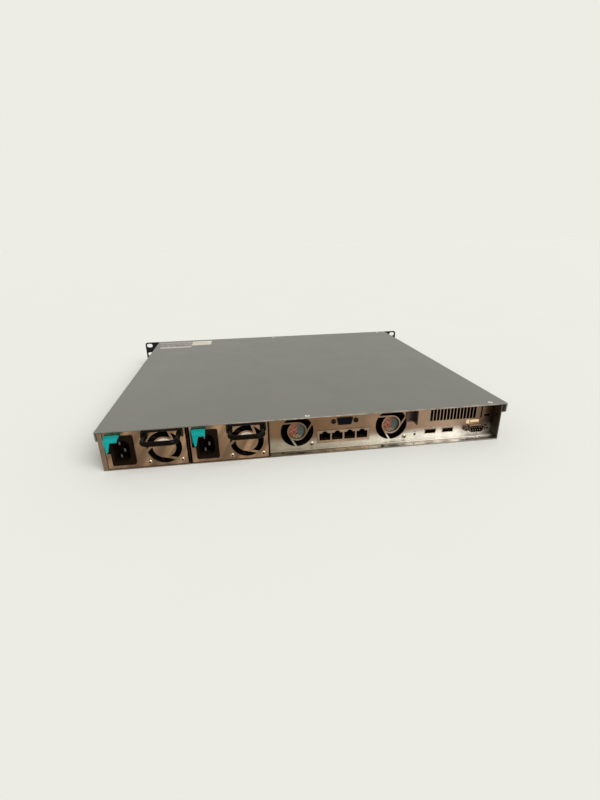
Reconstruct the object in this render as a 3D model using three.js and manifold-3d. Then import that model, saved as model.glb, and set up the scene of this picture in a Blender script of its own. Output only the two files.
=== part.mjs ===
// A firewall appliance one rack unit high, with two plug-in power supply modules at its rear.
// Millimetres, +Z up. The origin is the centre of the tray's underside. The front faces -Y, the
// rear +Y, and +X is on the left of someone who looks at the rear.
import * as THREE from 'three';
import { mergeVertices } from 'three/addons/utils/BufferGeometryUtils.js';
import Module from 'manifold-3d';

const wasm = await Module();
wasm.setup();

// ---------------------------------------------------------------- driving dimensions
const GAP = 0.3; // clearance between pieces that meet
const UNIT_HEIGHT = 43.6; // one rack unit, less the usual clearance
const RACK_HALF_WIDTH = 241.3; // ears span 482.6, the 19 inch standard
const BODY_HALF_WIDTH = 214;
const FRONT = -209.6;
const REAR = 210;

const SHEET = 1.2; // tray steel
const THIN = 1.0; // panel, partition and cover steel
const COVER_FLANGE_DROP = 12.6;
const COVER_REAR = REAR + 2; // the cover overhangs the tray's rear edge
const COVER_X = [-218.2, 215.4]; // the cover's right flange stands a little off the wall
const WALL_TOP = UNIT_HEIGHT - THIN - GAP;
const FLOOR_TOP = SHEET;

const PANEL_REAR = 196; // rear panel's outer face, recessed behind the tray's rear edge
const PANEL_X = [-212.4, 43.9];
const PANEL_Z = [FLOOR_TOP + GAP, WALL_TOP - GAP];

const FOOT_END = 202.6; // the panel's folded foot stops short of the tray's edge

const FAN_SIZE = 40;
const FAN_DEPTH = 28;
const FAN_AXIS_Z = 21.7;
const FAN_X = { 1: 13.5, 2: -92.3 };
const FAN_OPENING_RADIUS = 18;

const MODULE_WIDTH = 79;
const MODULE_X = { 1: 169, 2: 85.6 };
const MODULE_FRONT = 25;
const MODULE_Z = [1.8, 41.6];
const MODULE_SHEET = 0.8;
const FACE_THICKNESS = 1.2;
const MODULE_FAN_X = -17.6; // from the module's centre line
const MODULE_FAN_SIZE = 37.4;
const MODULE_FAN_DEPTH = 20;
const INLET_X = [11.6, 34.6];
const INLET_Z = [5.6, 37.2];
const LATCH_PIVOT = { x: 36.2, y: 150 };
const HANDLE_PIVOT = { y: 213.2, z: 36.5 };
const HANDLE_REACH = 20.3;

const PARTITION_X = 44.8;
const DIVIDER_X = 127.3;

const PORT_PITCH = 13.97; // modular jack pitch
const JACK_BLOCK = { width: 58.9, height: 14.6, depth: 24 };
const BOARD_Z = [4.0, 5.6];
const JACK_BOTTOM = BOARD_Z[1] + GAP;
const REAR_JACKS_X = -38;
const FRONT_JACKS_X = { 1: -46, 2: 16 };
const USB = { width: 13.4, height: 5.9, depth: 14, z: 6.8, x: { 1: -139.2, 2: -160 } };
const VIDEO_PORT = { x: -39.2, z: 30.1 };
const SERIAL_PORT = { x: -193.3, z: 10.2 };
const DSUB_SCREW_SPACING = 25;

const EAR_THICKNESS = 2;
const PANEL_FRONT = FRONT - GAP - EAR_THICKNESS;
const EAR_SLOT = { x: 234, width: 10.2, height: 6.9, pitch: 15.875 };
const DRIVE_X = [70, 178];
const BUTTON = { x: 190, z: 21.8, radius: 5 };

// ---------------------------------------------------------------- shape helpers
function box([x0, x1], [y0, y1], [z0, z1]) {
  const geometry = new THREE.BoxGeometry(x1 - x0, y1 - y0, z1 - z0);
  return geometry.translate((x0 + x1) / 2, (y0 + y1) / 2, (z0 + z1) / 2);
}

// A closed cylinder along one axis from low to high; u and v place it on the other two axes.
function rod(axis, [u, v], radius, [low, high], segments = 16) {
  const geometry = new THREE.CylinderGeometry(radius, radius, high - low, segments);
  const middle = (low + high) / 2;
  if (axis === 'x') {
    return geometry.rotateZ(Math.PI / 2).translate(middle, u, v);
  }
  if (axis === 'y') {
    return geometry.translate(u, middle, v);
  }
  return geometry.rotateX(Math.PI / 2).translate(u, v, middle);
}

function arc(cx, cy, radius, startDegrees, endDegrees, steps) {
  const points = [];
  for (let i = 0; i <= steps; i += 1) {
    const angle = THREE.MathUtils.degToRad(startDegrees + ((endDegrees - startDegrees) * i) / steps);
    points.push(new THREE.Vector2(cx + radius * Math.cos(angle), cy + radius * Math.sin(angle)));
  }
  return points;
}

function circle(cx, cy, radius, segments = 32) {
  return arc(cx, cy, radius, 0, 360 * (1 - 1 / segments), segments - 1);
}

function rectangle([x0, x1], [y0, y1]) {
  return [[x0, y0], [x1, y0], [x1, y1], [x0, y1]].map(([x, y]) => new THREE.Vector2(x, y));
}

function roundedRectangle([x0, x1], [y0, y1], radius, steps = 3) {
  return [
    ...arc(x1 - radius, y0 + radius, radius, -90, 0, steps),
    ...arc(x1 - radius, y1 - radius, radius, 0, 90, steps),
    ...arc(x0 + radius, y1 - radius, radius, 90, 180, steps),
    ...arc(x0 + radius, y0 + radius, radius, 180, 270, steps),
  ];
}

function extrude(outline, holes, depth) {
  const shape = new THREE.Shape(outline);
  shape.holes = holes.map((points) => new THREE.Path(points));
  return new THREE.ExtrudeGeometry(shape, { depth, bevelEnabled: false });
}

function outlineOf(pairs) {
  return pairs.map(([u, v]) => new THREE.Vector2(u, v));
}

// A plate drawn in X and Z that fills y0 to y1.
function uprightPlate(outline, holes, [y0, y1]) {
  return extrude(outline, holes, y1 - y0).rotateX(Math.PI / 2).translate(0, y1, 0);
}

// A plate drawn in X and Y that fills z0 to z1.
function levelPlate(outline, holes, [z0, z1]) {
  return extrude(outline, holes, z1 - z0).translate(0, 0, z0);
}

// A plate drawn in Y and Z that fills x0 to x1.
function sidePlate(outline, holes, [x0, x1]) {
  const geometry = extrude(outline, holes, x1 - x0);
  return geometry.rotateX(Math.PI / 2).rotateZ(Math.PI / 2).translate(x0, 0, 0);
}

function toSolid(geometry) {
  const bare = geometry.clone();
  bare.deleteAttribute('normal');
  bare.deleteAttribute('uv');
  const welded = mergeVertices(bare, 1e-4);
  const vertProperties = new Float32Array(welded.attributes.position.array);
  const triVerts = new Uint32Array(welded.index.array);
  return new wasm.Manifold(new wasm.Mesh({ numProp: 3, vertProperties, triVerts }));
}

function toGeometry(solid) {
  const { vertProperties, triVerts } = solid.getMesh();
  const geometry = new THREE.BufferGeometry();
  geometry.setAttribute('position', new THREE.BufferAttribute(vertProperties, 3));
  geometry.setIndex(new THREE.BufferAttribute(triVerts, 1));
  geometry.computeVertexNormals();
  return geometry;
}

function join(...geometries) {
  return toGeometry(geometries.map(toSolid).reduce((whole, next) => whole.add(next)));
}

function cut(geometry, ...tools) {
  return toGeometry(tools.map(toSolid).reduce((rest, tool) => rest.subtract(tool), toSolid(geometry)));
}

function common(first, second) {
  return toGeometry(toSolid(first).intersect(toSolid(second)));
}

// Cuts each outline, drawn in X and Z, right through an upright plate.
function perforated(plate, outlines) {
  plate.computeBoundingBox();
  const { min, max } = plate.boundingBox;
  return cut(plate, ...outlines.map((outline) => uprightPlate(outline, [], [min.y - 1, max.y + 1])));
}

function finish(color, roughness, metalness) {
  return new THREE.MeshStandardMaterial({ color, roughness, metalness });
}

const zincSteel = finish('#b59b80', 0.32, 0.9);
const greyPaint = finish('#86857b', 0.5, 0.4);
const blackPaint = finish('#1b1b1c', 0.55, 0.3);
const blackPlastic = finish('#17171a', 0.5, 0);
const glossBlack = finish('#141416', 0.2, 0);
const tealPlastic = finish('#2aa89c', 0.45, 0);
const portShield = finish('#c9bda8', 0.25, 0.9);
const boardGreen = finish('#1d5a36', 0.4, 0);
const aluminium = finish('#b8bcc0', 0.35, 0.9);
const lensGreen = finish('#58d07a', 0.2, 0);
const wireRed = finish('#8c2f28', 0.5, 0);

function piece(name, geometry, material) {
  const mesh = new THREE.Mesh(geometry, material);
  mesh.name = name;
  return mesh;
}

// ---------------------------------------------------------------- tray, cover and partitions
function chassisTray() {
  const outer = BODY_HALF_WIDTH;
  const inner = outer - SHEET;
  const channel = [
    [-outer, 0], [outer, 0], [outer, WALL_TOP], [inner, WALL_TOP],
    [inner, FLOOR_TOP], [-inner, FLOOR_TOP], [-inner, WALL_TOP], [-outer, WALL_TOP],
  ].map(([x, z]) => new THREE.Vector2(x, z));
  const body = uprightPlate(channel, [], [FRONT, REAR]);
  const bayHem = box([209.1, inner + 0.2], [REAR - SHEET, REAR], [SHEET / 2, WALL_TOP - 1]);
  const standoffs = [];
  for (const x of [-200, -90, 20]) {
    for (const y of [-120, 20, 150]) {
      standoffs.push(rod('z', [x, y], 3, [SHEET / 2, BOARD_Z[0] - GAP], 8));
    }
  }
  return join(body, bayHem, ...standoffs);
}

function topCover() {
  const top = box(COVER_X, [FRONT, COVER_REAR], [UNIT_HEIGHT - THIN, UNIT_HEIGHT]);
  const bottom = UNIT_HEIGHT - COVER_FLANGE_DROP;
  const edge = outlineOf([
    [FRONT, bottom], [COVER_REAR - 6, bottom], [COVER_REAR, bottom + 3], [COVER_REAR, UNIT_HEIGHT - THIN / 2],
    [FRONT, UNIT_HEIGHT - THIN / 2],
  ]);
  const leftFlange = sidePlate(edge, [], [COVER_X[1] - THIN, COVER_X[1]]);
  const rightFlange = sidePlate(edge, [], [COVER_X[0], COVER_X[0] + THIN]);
  return join(top, leftFlange, rightFlange);
}

function partition(x) {
  return box([x - THIN / 2, x + THIN / 2], [MODULE_FRONT, REAR - GAP], PANEL_Z);
}

// ---------------------------------------------------------------- fans and their guards
// An arm that leaves a ring or disc at a tangent and reaches the rim of a round opening. Its
// direction is the angle seen from the rear, where X runs to the left.
function guardArm([cx, cz], ringRadius, rimRadius, width, degrees, depth) {
  const angle = THREE.MathUtils.degToRad(degrees);
  const along = new THREE.Vector2(-Math.cos(angle), Math.sin(angle));
  const outward = new THREE.Vector2(-Math.sin(angle), -Math.cos(angle));
  const reach = Math.sqrt(rimRadius ** 2 - ringRadius ** 2) + 1;
  const corner = (s, t) => new THREE.Vector2(cx, cz)
    .addScaledVector(along, s)
    .addScaledVector(outward, ringRadius + t);
  const half = width / 2;
  return uprightPlate([corner(0, -half), corner(reach, -half), corner(reach, half), corner(0, half)], [], depth);
}

function fanSizes(size) {
  const bore = size / 2 - 1.3;
  return { bore, blade: bore - 0.7, hub: size * 0.24 };
}

// The rear face is at y = 0 and the fan's axis is y. The motor's base faces the rear.
function fanFrame(size, depth) {
  const { bore, hub } = fanSizes(size);
  const half = size / 2;
  const outline = roundedRectangle([-half, half], [-half, half], 2, 2);
  const shell = uprightPlate(outline, [circle(0, 0, bore, 32)], [-depth, 0]);
  const base = rod('y', [0, 0], hub, [-3, -0.8], 24);
  const axle = rod('y', [0, 0], 1.2, [-depth + 6, -2], 10);
  const struts = [45, 165, 285].map((degrees) => guardArm([0, 0], hub - 1.5, bore, 2, degrees, [-3, -1.2]));
  return join(shell, base, axle, ...struts);
}

function fanRotor(size, depth) {
  const { blade, hub } = fanSizes(size);
  const bladeCount = 7;
  const chord = depth * 0.6;
  const middle = -depth / 2 - 1;
  const hubBody = rod('y', [0, 0], hub, [-depth + 2, -3.5], 24);
  const blades = [];
  for (let i = 0; i < bladeCount; i += 1) {
    const vane = box([-0.6, 0.6], [-chord / 2, chord / 2], [hub - 1, blade + 2]);
    vane.rotateZ(THREE.MathUtils.degToRad(42));
    vane.rotateY((2 * Math.PI * i) / bladeCount).translate(0, middle, 0);
    blades.push(vane);
  }
  const swept = rod('y', [0, 0], blade, [-depth + 1, -3.5], 32);
  const bladed = common(join(hubBody, ...blades), swept);
  return cut(bladed, rod('y', [0, 0], 1.6, [-depth + 5, 0], 10));
}

// ---------------------------------------------------------------- sockets
// A modular jack's mouth: a wide opening with the latch's two narrower steps above it.
function jackOutline(cx, bottom) {
  const half = [6.1, 3.1, 1.9];
  const level = [bottom, bottom + 8.3, bottom + 9.5, bottom + 10.6];
  const right = half.flatMap((x, i) => [[x, level[i]], [x, level[i + 1]]]);
  const left = right.map(([x, z]) => [-x, z]).reverse();
  return [...right, ...left].map(([x, z]) => new THREE.Vector2(cx + x, z));
}

// Four modular jacks in one shielded block: the mouths are at y = 0, the underside at z = 0.
function jackBlock() {
  const half = JACK_BLOCK.width / 2;
  const body = box([-half, half], [-JACK_BLOCK.depth, 0], [0, JACK_BLOCK.height]);
  const cavities = [-1.5, -0.5, 0.5, 1.5].map((step) => (
    uprightPlate(jackOutline(step * PORT_PITCH, 2.9), [], [-15, 1])
  ));
  return cut(body, ...cavities);
}

// A USB type A socket: a thin shell with the contact tongue inside, mouth at y = 0.
function usbSocket() {
  const halfWidth = USB.width / 2;
  const wall = 0.5;
  const shell = box([-halfWidth, halfWidth], [-USB.depth, 0], [0, USB.height]);
  const hollow = box([wall - halfWidth, halfWidth - wall], [-12, 1], [wall, USB.height - wall]);
  const tongue = box([-5.4, 5.4], [-12.5, -1.2], [USB.height - 2.9, USB.height - 1.2]);
  return join(cut(shell, hollow), tongue);
}

// The D of a D-sub connector, wide side up, offset inwards by inset.
function dOutline([cx, cz], inset) {
  const top = 8.9 - inset;
  const bottom = 7.4 - inset;
  const half = 4.2 - inset;
  return [
    ...arc(cx + top - 1.2, cz + half - 1.2, 1.2, 100, 0, 2).reverse(),
    ...arc(cx - top + 1.2, cz + half - 1.2, 1.2, 180, 80, 2).reverse(),
    ...arc(cx - bottom + 1.2, cz - half + 1.2, 1.2, 180, 270, 2),
    ...arc(cx + bottom - 1.2, cz - half + 1.2, 1.2, 270, 360, 2),
  ];
}

function jackscrew(x, z, [y0, y1]) {
  const post = rod('y', [x, z], 2.6, [y0, y1], 6);
  return cut(post, rod('y', [x, z], 1.4, [y1 - 3.5, y1 + 1], 10));
}

// The mouth is level with y = 0, which is the panel's outer face.
function dsubConnector({ shellReach, postReach, hollow }) {
  const flangeY = [-2.1, -1.3];
  const flange = uprightPlate(roundedRectangle([-15.4, 15.4], [-6.2, 6.2], 1.5, 2), [], flangeY);
  const body = box([-9, 9], [-12, flangeY[0] + 0.2], [-3.2, 4.8]);
  let shell = uprightPlate(dOutline([0, 0], 0), [], [flangeY[0], shellReach]);
  if (hollow) {
    shell = cut(shell, uprightPlate(dOutline([0, 0], 0.6), [], [flangeY[1], shellReach + 1]));
  }
  const screws = [-1, 1].map((side) => (
    jackscrew((side * DSUB_SCREW_SPACING) / 2, 0, [flangeY[1] - 0.3, postReach])
  ));
  return join(flange, body, shell, ...screws);
}

function serialPins() {
  const rows = [{ count: 5, z: 1.42 }, { count: 4, z: -1.42 }];
  return rows.flatMap(({ count, z }) => Array.from({ length: count }, (_, i) => (
    rod('y', [(i - (count - 1) / 2) * 2.77, z], 0.5, [-1.6, 3.9], 6)
  )));
}

function serialPort() {
  return join(dsubConnector({ shellReach: 4.5, postReach: 4.2, hollow: true }), ...serialPins());
}

function videoPort() {
  return dsubConnector({ shellReach: 1.2, postReach: 1.5, hollow: false });
}

// ---------------------------------------------------------------- rear panel
function rearPanel() {
  const fans = [1, 2].map((n) => [FAN_X[n], FAN_AXIS_Z]);
  const half = JACK_BLOCK.width / 2 + GAP;
  const holes = fans.map(([x, z]) => circle(x, z, FAN_OPENING_RADIUS, 36));
  holes.push(rectangle([REAR_JACKS_X - half, REAR_JACKS_X + half],
    [JACK_BOTTOM - GAP, JACK_BOTTOM + JACK_BLOCK.height + GAP]));
  for (const x of Object.values(USB.x)) {
    const reach = USB.width / 2 + GAP;
    holes.push(rectangle([x - reach, x + reach], [USB.z - GAP, USB.z + USB.height + GAP]));
  }
  for (const { x, z } of [VIDEO_PORT, SERIAL_PORT]) {
    holes.push(dOutline([x, z], -GAP));
    for (const side of [-1, 1]) {
      holes.push(circle(x + (side * DSUB_SCREW_SPACING) / 2, z, 3, 12));
    }
  }
  for (let i = 0; i < 14; i += 1) {
    const x = -139.2 - i * 3.95;
    holes.push(rectangle([x - 1.55, x + 1.55], [22, 39]));
  }
  holes.push(rectangle([-199.6, -198], [22, 39]));
  holes.push(rectangle([-208.8, -202.8], [23.2, 25.8]));
  holes.push(circle(-120.8, 7.4, 1.5, 12));
  const sheet = perforated(box(PANEL_X, [PANEL_REAR - THIN, PANEL_REAR], PANEL_Z), holes);
  const foot = box(PANEL_X, [PANEL_REAR - THIN, FOOT_END], [PANEL_Z[0], PANEL_Z[0] + THIN]);
  const lip = box(PANEL_X, [PANEL_REAR - THIN, REAR - 1], [PANEL_Z[1] - THIN, PANEL_Z[1]]);
  const depth = [PANEL_REAR - THIN, PANEL_REAR];
  const guards = fans.flatMap((centre) => [
    uprightPlate(circle(...centre, 10.8, 28), [circle(...centre, 9.2, 28)], depth),
    ...[60, 180, 300].map((degrees) => guardArm(centre, 10, FAN_OPENING_RADIUS, 1.7, degrees, depth)),
  ]);
  return join(sheet, foot, lip, ...guards);
}

function supportBracket() {
  const finX = -117.8;
  const leg = box([finX, finX + 9], [PANEL_REAR + GAP, PANEL_REAR + 1.2], [23.6, 39.5]);
  const fin = box([finX - 0.5, finX + 0.5], [PANEL_REAR + GAP, REAR - 2.5], [23.6, 39.5]);
  return cut(join(leg, fin), rod('y', [finX + 4, 26.6], 1.5, [190, 205], 12));
}

// ---------------------------------------------------------------- front
function rackEar(side) {
  const inner = BODY_HALF_WIDTH + GAP;
  const y = [PANEL_FRONT, PANEL_FRONT + EAR_THICKNESS];
  const plate = roundedRectangle([inner, RACK_HALF_WIDTH], [0.3, UNIT_HEIGHT - GAP], 3.5, 3);
  const slots = [-1, 0, 1].map((step) => {
    const z = UNIT_HEIGHT / 2 + step * EAR_SLOT.pitch;
    const reach = EAR_SLOT.width / 2;
    const rise = EAR_SLOT.height / 2;
    return roundedRectangle([EAR_SLOT.x - reach, EAR_SLOT.x + reach], [z - rise, z + rise], rise - 0.1, 4);
  });
  const flange = box([inner, inner + 1.6], [y[0] + 0.5, -150], [4, 30.2]);
  const ear = join(uprightPlate(plate, slots, y), flange, box([inner, inner + 3.6], y, [0.3, 6]));
  return side > 0 ? ear : toGeometry(toSolid(ear).mirror([1, 0, 0]));
}

function frontPanel() {
  const half = BODY_HALF_WIDTH - 0.2;
  const holes = [];
  for (const x of Object.values(FRONT_JACKS_X)) {
    const reach = JACK_BLOCK.width / 2 + GAP;
    holes.push(rectangle([x - reach, x + reach], [JACK_BOTTOM - GAP, JACK_BOTTOM + JACK_BLOCK.height + GAP]));
  }
  for (const [start, count] of [[-198, 17], [70, 13]]) {
    for (let i = 0; i < count; i += 1) {
      holes.push(rectangle([start + i * 7, start + i * 7 + 3.6], [8, 35]));
    }
  }
  holes.push(circle(BUTTON.x, BUTTON.z, BUTTON.radius + GAP, 20));
  holes.push(rectangle([165.7, 178.3], [19.5, 24.1]));
  const depth = [PANEL_FRONT, PANEL_FRONT + EAR_THICKNESS];
  return perforated(box([-half, half], depth, [0.4, UNIT_HEIGHT - GAP]), holes);
}

function powerButton() {
  const cap = rod('y', [BUTTON.x, BUTTON.z], BUTTON.radius, [PANEL_FRONT - 2, PANEL_FRONT + 3.5], 20);
  const stem = rod('y', [BUTTON.x, BUTTON.z], 1.8, [PANEL_FRONT + 3, PANEL_FRONT + 7], 10);
  return join(cap, stem);
}

// ---------------------------------------------------------------- inside the body
function motherboard() {
  const notch = (x) => [x - FAN_SIZE / 2 - 1, x + FAN_SIZE / 2 + 1];
  const [fan2Low, fan2High] = notch(FAN_X[2]);
  const [fan1Low] = notch(FAN_X[1]);
  const rear = PANEL_REAR - THIN - 1.5;
  const fanFront = rear - FAN_DEPTH - 1;
  const outline = [
    [-206, -130], [40, -130], [40, fanFront], [fan1Low, fanFront], [fan1Low, rear],
    [fan2High, rear], [fan2High, fanFront], [fan2Low, fanFront], [fan2Low, rear], [-206, rear],
  ].map(([x, y]) => new THREE.Vector2(x, y));
  return levelPlate(outline, [], BOARD_Z);
}

function finnedHeatsink([x0, x1], [y0, y1], [z0, z1], fins) {
  const base = box([x0, x1], [y0, y1], [z0, z0 + 4]);
  const pitch = (x1 - x0 - 1) / (fins - 1);
  const blades = Array.from({ length: fins }, (_, i) => (
    box([x0 + i * pitch, x0 + i * pitch + 1], [y0, y1], [z0 + 3, z1])
  ));
  return join(base, ...blades);
}

function memoryModule(x) {
  const outline = [[-65, 7], [65, 7], [65, 36], [-65, 36]].map(([y, z]) => new THREE.Vector2(y, z));
  const socket = box([x - 3.5, x + 3.5], [-70, 70], [BOARD_Z[1] + GAP, 13]);
  return join(socket, sidePlate(outline, [], [x - 0.7, x + 0.7]));
}

function powerBackplane() {
  const board = box([PARTITION_X + 1, 211], [17, 18.8], [4, 39]);
  const sockets = Object.values(MODULE_X).map((x) => cut(
    box([x - 30, x + 30], [18, 24.6], [3, 12]),
    box([x - 27, x + 27], [20, 26], [5.4, 8.2]),
  ));
  return join(board, ...sockets);
}

function powerHarness() {
  const route = new THREE.CatmullRomCurve3([
    [58, 16.4, 24], [58, -4, 23], [50, -26, 17], [36, -36, 13], [22, -37, 12],
  ].map((point) => new THREE.Vector3(...point)));
  const section = new THREE.Shape(circle(0, 0, 4, 8));
  return new THREE.ExtrudeGeometry(section, { steps: 18, extrudePath: route });
}

function driveBracket() {
  const [left, right] = DRIVE_X;
  const wall = [left + SHEET, right - SHEET];
  const profile = [
    [left, 1.5], [right, 1.5], [right, 24], [wall[1], 24], [wall[1], 2.7], [wall[0], 2.7], [wall[0], 24], [left, 24],
  ].map(([x, z]) => new THREE.Vector2(x, z));
  return uprightPlate(profile, [], [-196, -46]);
}

function storageDrive() {
  const [left, right] = DRIVE_X;
  const body = box([left + 3, right - 3], [-195, -48], [3, 29]);
  return cut(body, box([right - 34, right - 12], [-49, -47], [5, 9]));
}

// ---------------------------------------------------------------- power supply module
// Pieces are drawn about the module's own centre line, x = 0.
function moduleCase() {
  const half = MODULE_WIDTH / 2;
  const inner = half - MODULE_SHEET;
  const rear = REAR - FACE_THICKNESS - GAP;
  const shell = box([-half, half], [MODULE_FRONT, rear], MODULE_Z);
  const hollow = box([-inner, inner], [MODULE_FRONT + MODULE_SHEET, rear + 1],
    [MODULE_Z[0] + MODULE_SHEET, MODULE_Z[1] - MODULE_SHEET]);
  const boardSlot = box([-28, 28], [MODULE_FRONT - 1, MODULE_FRONT + 2], [4.8, 8.8]);
  const catchWindow = box([inner - 1, half + 1], [174, 184], [24, 34]);
  const airSlots = [-24, -12, 0, 12, 24].map((x) => (
    box([x - 4, x + 4], [MODULE_FRONT - 1, MODULE_FRONT + 2], [14, 34])
  ));
  return cut(shell, hollow, boardSlot, catchWindow, ...airSlots);
}

function moduleFace() {
  const half = MODULE_WIDTH / 2;
  const centre = [MODULE_FAN_X, FAN_AXIS_Z];
  const rim = 17.5;
  const disc = 11.6;
  const depth = [REAR - FACE_THICKNESS, REAR];
  const holes = [
    circle(...centre, rim, 36),
    rectangle([14, 33], [8.4, 34.4]),
    rectangle([34.9, 38.7], [18.6, 38.8]),
  ];
  const plate = uprightPlate(rectangle([-half, half], MODULE_Z), holes, depth);
  const arms = [105, 225, 345].map((degrees) => guardArm(centre, disc - 1.3, rim, 2.6, degrees, depth));
  return join(plate, uprightPlate(circle(...centre, disc, 28), [], depth), ...arms);
}

// A mains inlet turned on its side, with the two cut corners towards -X and three blades inside.
function inletMouth(inset) {
  const x = [15.6 + inset, 31.6 - inset];
  const z = [9.9 + inset, 32.9 - inset];
  const corner = 4.2;
  return [
    [x[1], z[0]], [x[1], z[1]], [x[0] + corner, z[1]], [x[0], z[1] - corner],
    [x[0], z[0] + corner], [x[0] + corner, z[0]],
  ].map(([u, v]) => new THREE.Vector2(u, v));
}

function mainsInlet() {
  const flange = uprightPlate(roundedRectangle(INLET_X, INLET_Z, 1.5, 2), [], [REAR + GAP, REAR + 1.7]);
  const body = box([14.3, 32.7], [REAR - 19, REAR + 1], [8.7, 34.1]);
  const cavity = uprightPlate(inletMouth(0), [], [REAR - 15, REAR + 3]);
  const middleZ = (INLET_Z[0] + INLET_Z[1]) / 2;
  const blade = (x, z, tip) => box([x - 1, x + 1], [REAR - 16, tip], [z - 2, z + 2]);
  return join(
    cut(join(flange, body), cavity),
    blade(25.6, middleZ + 7, REAR - 2.5),
    blade(25.6, middleZ - 7, REAR - 2.5),
    blade(21, middleZ, REAR - 1),
  );
}

// The lever turns about a pin inside the case. Its thumb tab and tongue stand out of the face.
function releaseLatch() {
  const x = [37.1, 38.1];
  const pivotX = LATCH_PIVOT.x;
  const strap = box(x, [LATCH_PIVOT.y, REAR + 14], [23, 38]);
  const eye = rod('z', [pivotX, LATCH_PIVOT.y], 2.2, [23, 38], 12);
  const bore = rod('z', [pivotX, LATCH_PIVOT.y], 1.5, [20, 40], 10);
  const wedge = levelPlate(outlineOf([[38, 176], [39.2, 181.6], [38, 182]]), [], [26, 32]);
  const trimmedStrap = cut(strap, box([30, 40], [REAR + 2, REAR + 20], [20, 40]),
    box([30, 40], [REAR - 1, REAR + 20], [20, 36.6]));
  const tab = levelPlate(outlineOf([[38.1, REAR + 0.9], [35.2, REAR + 15], [22.8, REAR + 15], [23.6, REAR + 0.9]]),
    [], [37.4, 39]);
  const front = [REAR + 13.6, REAR + 15];
  const lip = box([22.8, 35.2], front, [36.8, 38.6]);
  const tongue = uprightPlate(outlineOf([[35.2, 38], [34.1, 26.5], [32.5, 26.5], [29.2, 38]]), [], front);
  return join(cut(join(trimmedStrap, eye), bore), wedge, tab, lip, tongue);
}

function latchPin() {
  return rod('z', [LATCH_PIVOT.x, LATCH_PIVOT.y], 1.1, [MODULE_Z[0] + 1.2, MODULE_Z[1] - 1.2], 10);
}

// A bail of round bar: two arms, a crossbar and the pins that it turns on.
function bailHandle() {
  const { y, z } = HANDLE_PIVOT;
  const half = 16.2;
  const barY = y + HANDLE_REACH;
  const bend = 6;
  const at = (x, along) => new THREE.Vector3(MODULE_FAN_X + x, along, z);
  const path = new THREE.CurvePath();
  path.add(new THREE.LineCurve3(at(half, y), at(half, barY - bend)));
  path.add(new THREE.QuadraticBezierCurve3(at(half, barY - bend), at(half, barY), at(half - bend, barY)));
  path.add(new THREE.LineCurve3(at(half - bend, barY), at(bend - half, barY)));
  path.add(new THREE.QuadraticBezierCurve3(at(bend - half, barY), at(-half, barY), at(-half, barY - bend)));
  path.add(new THREE.LineCurve3(at(-half, barY - bend), at(-half, y)));
  const section = new THREE.Shape(circle(0, 0, 2.5, 10));
  const bail = new THREE.ExtrudeGeometry(section, { steps: 34, extrudePath: path });
  const eyes = [-1, 1].map((side) => {
    const reach = [side * half - 2.1, side * half + 2.1].map((x) => MODULE_FAN_X + x);
    return rod('x', [y, z], 2.8, reach, 12);
  });
  const pins = [-1, 1].map((side) => {
    const ends = [side * (half + 1), side * (half + 4.4)].sort((a, b) => a - b);
    return rod('x', [y, z], 1.1, ends.map((x) => MODULE_FAN_X + x), 10);
  });
  return join(bail, ...eyes, ...pins);
}

// A black strip fixed along the top of the fan opening, with an ear for each handle pin.
function handleBracket() {
  const { y, z } = HANDLE_PIVOT;
  const back = REAR + GAP;
  const strip = box([MODULE_FAN_X - 20.2, MODULE_FAN_X + 20.2], [back, back + 0.9], [39.2, 41]);
  const outline = [[back, 33], [y, 33], [y + 2.8, 35], [y + 2.8, 38.4], [y, 41], [back, 41]]
    .map(([u, v]) => new THREE.Vector2(u, v));
  const ears = [-19.6, 19.6].map((x) => (
    sidePlate(outline, [circle(y, z, 1.5, 12)], [MODULE_FAN_X + x - 0.6, MODULE_FAN_X + x + 0.6])
  ));
  return join(strip, ...ears);
}

function moduleBoard() {
  const tongue = box([-26, 26], [21, MODULE_FRONT + 6], [6, 7.6]);
  return join(box([-36, 35], [MODULE_FRONT + 4, 180], [6, 7.6]), tongue);
}

function powerModule(number) {
  const name = (part) => `power_supply_${number}_${part}`;
  const group = new THREE.Group();
  group.position.x = MODULE_X[number];
  group.add(piece(name('case'), moduleCase(), zincSteel));
  group.add(piece(name('faceplate'), moduleFace(), zincSteel));
  group.add(piece(name('mains_inlet'), mainsInlet(), blackPlastic));
  group.add(piece(name('latch'), releaseLatch(), tealPlastic));
  group.add(piece(name('latch_pin'), latchPin(), zincSteel));
  group.add(piece(name('handle'), bailHandle(), glossBlack));
  group.add(piece(name('handle_bracket'), handleBracket(), blackPaint));
  group.add(piece(name('board'), moduleBoard(), boardGreen));
  group.add(piece(name('transformer'), box([-20, 14], [70, 104], [7.9, 36]), blackPlastic));
  group.add(piece(name('capacitor'), rod('z', [-22, 150], 11, [7.9, 38], 24), blackPlastic));
  group.add(piece(name('heatsink'), finnedHeatsink([20, 34], [60, 130], [7.9, 36], 5), aluminium));
  const fan = new THREE.Group();
  fan.position.set(MODULE_FAN_X, REAR - FACE_THICKNESS - GAP, FAN_AXIS_Z);
  fan.add(piece(name('fan_frame'), fanFrame(MODULE_FAN_SIZE, MODULE_FAN_DEPTH), blackPlastic));
  fan.add(piece(name('fan_rotor'), fanRotor(MODULE_FAN_SIZE, MODULE_FAN_DEPTH), blackPlastic));
  group.add(fan);
  return group;
}

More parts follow.
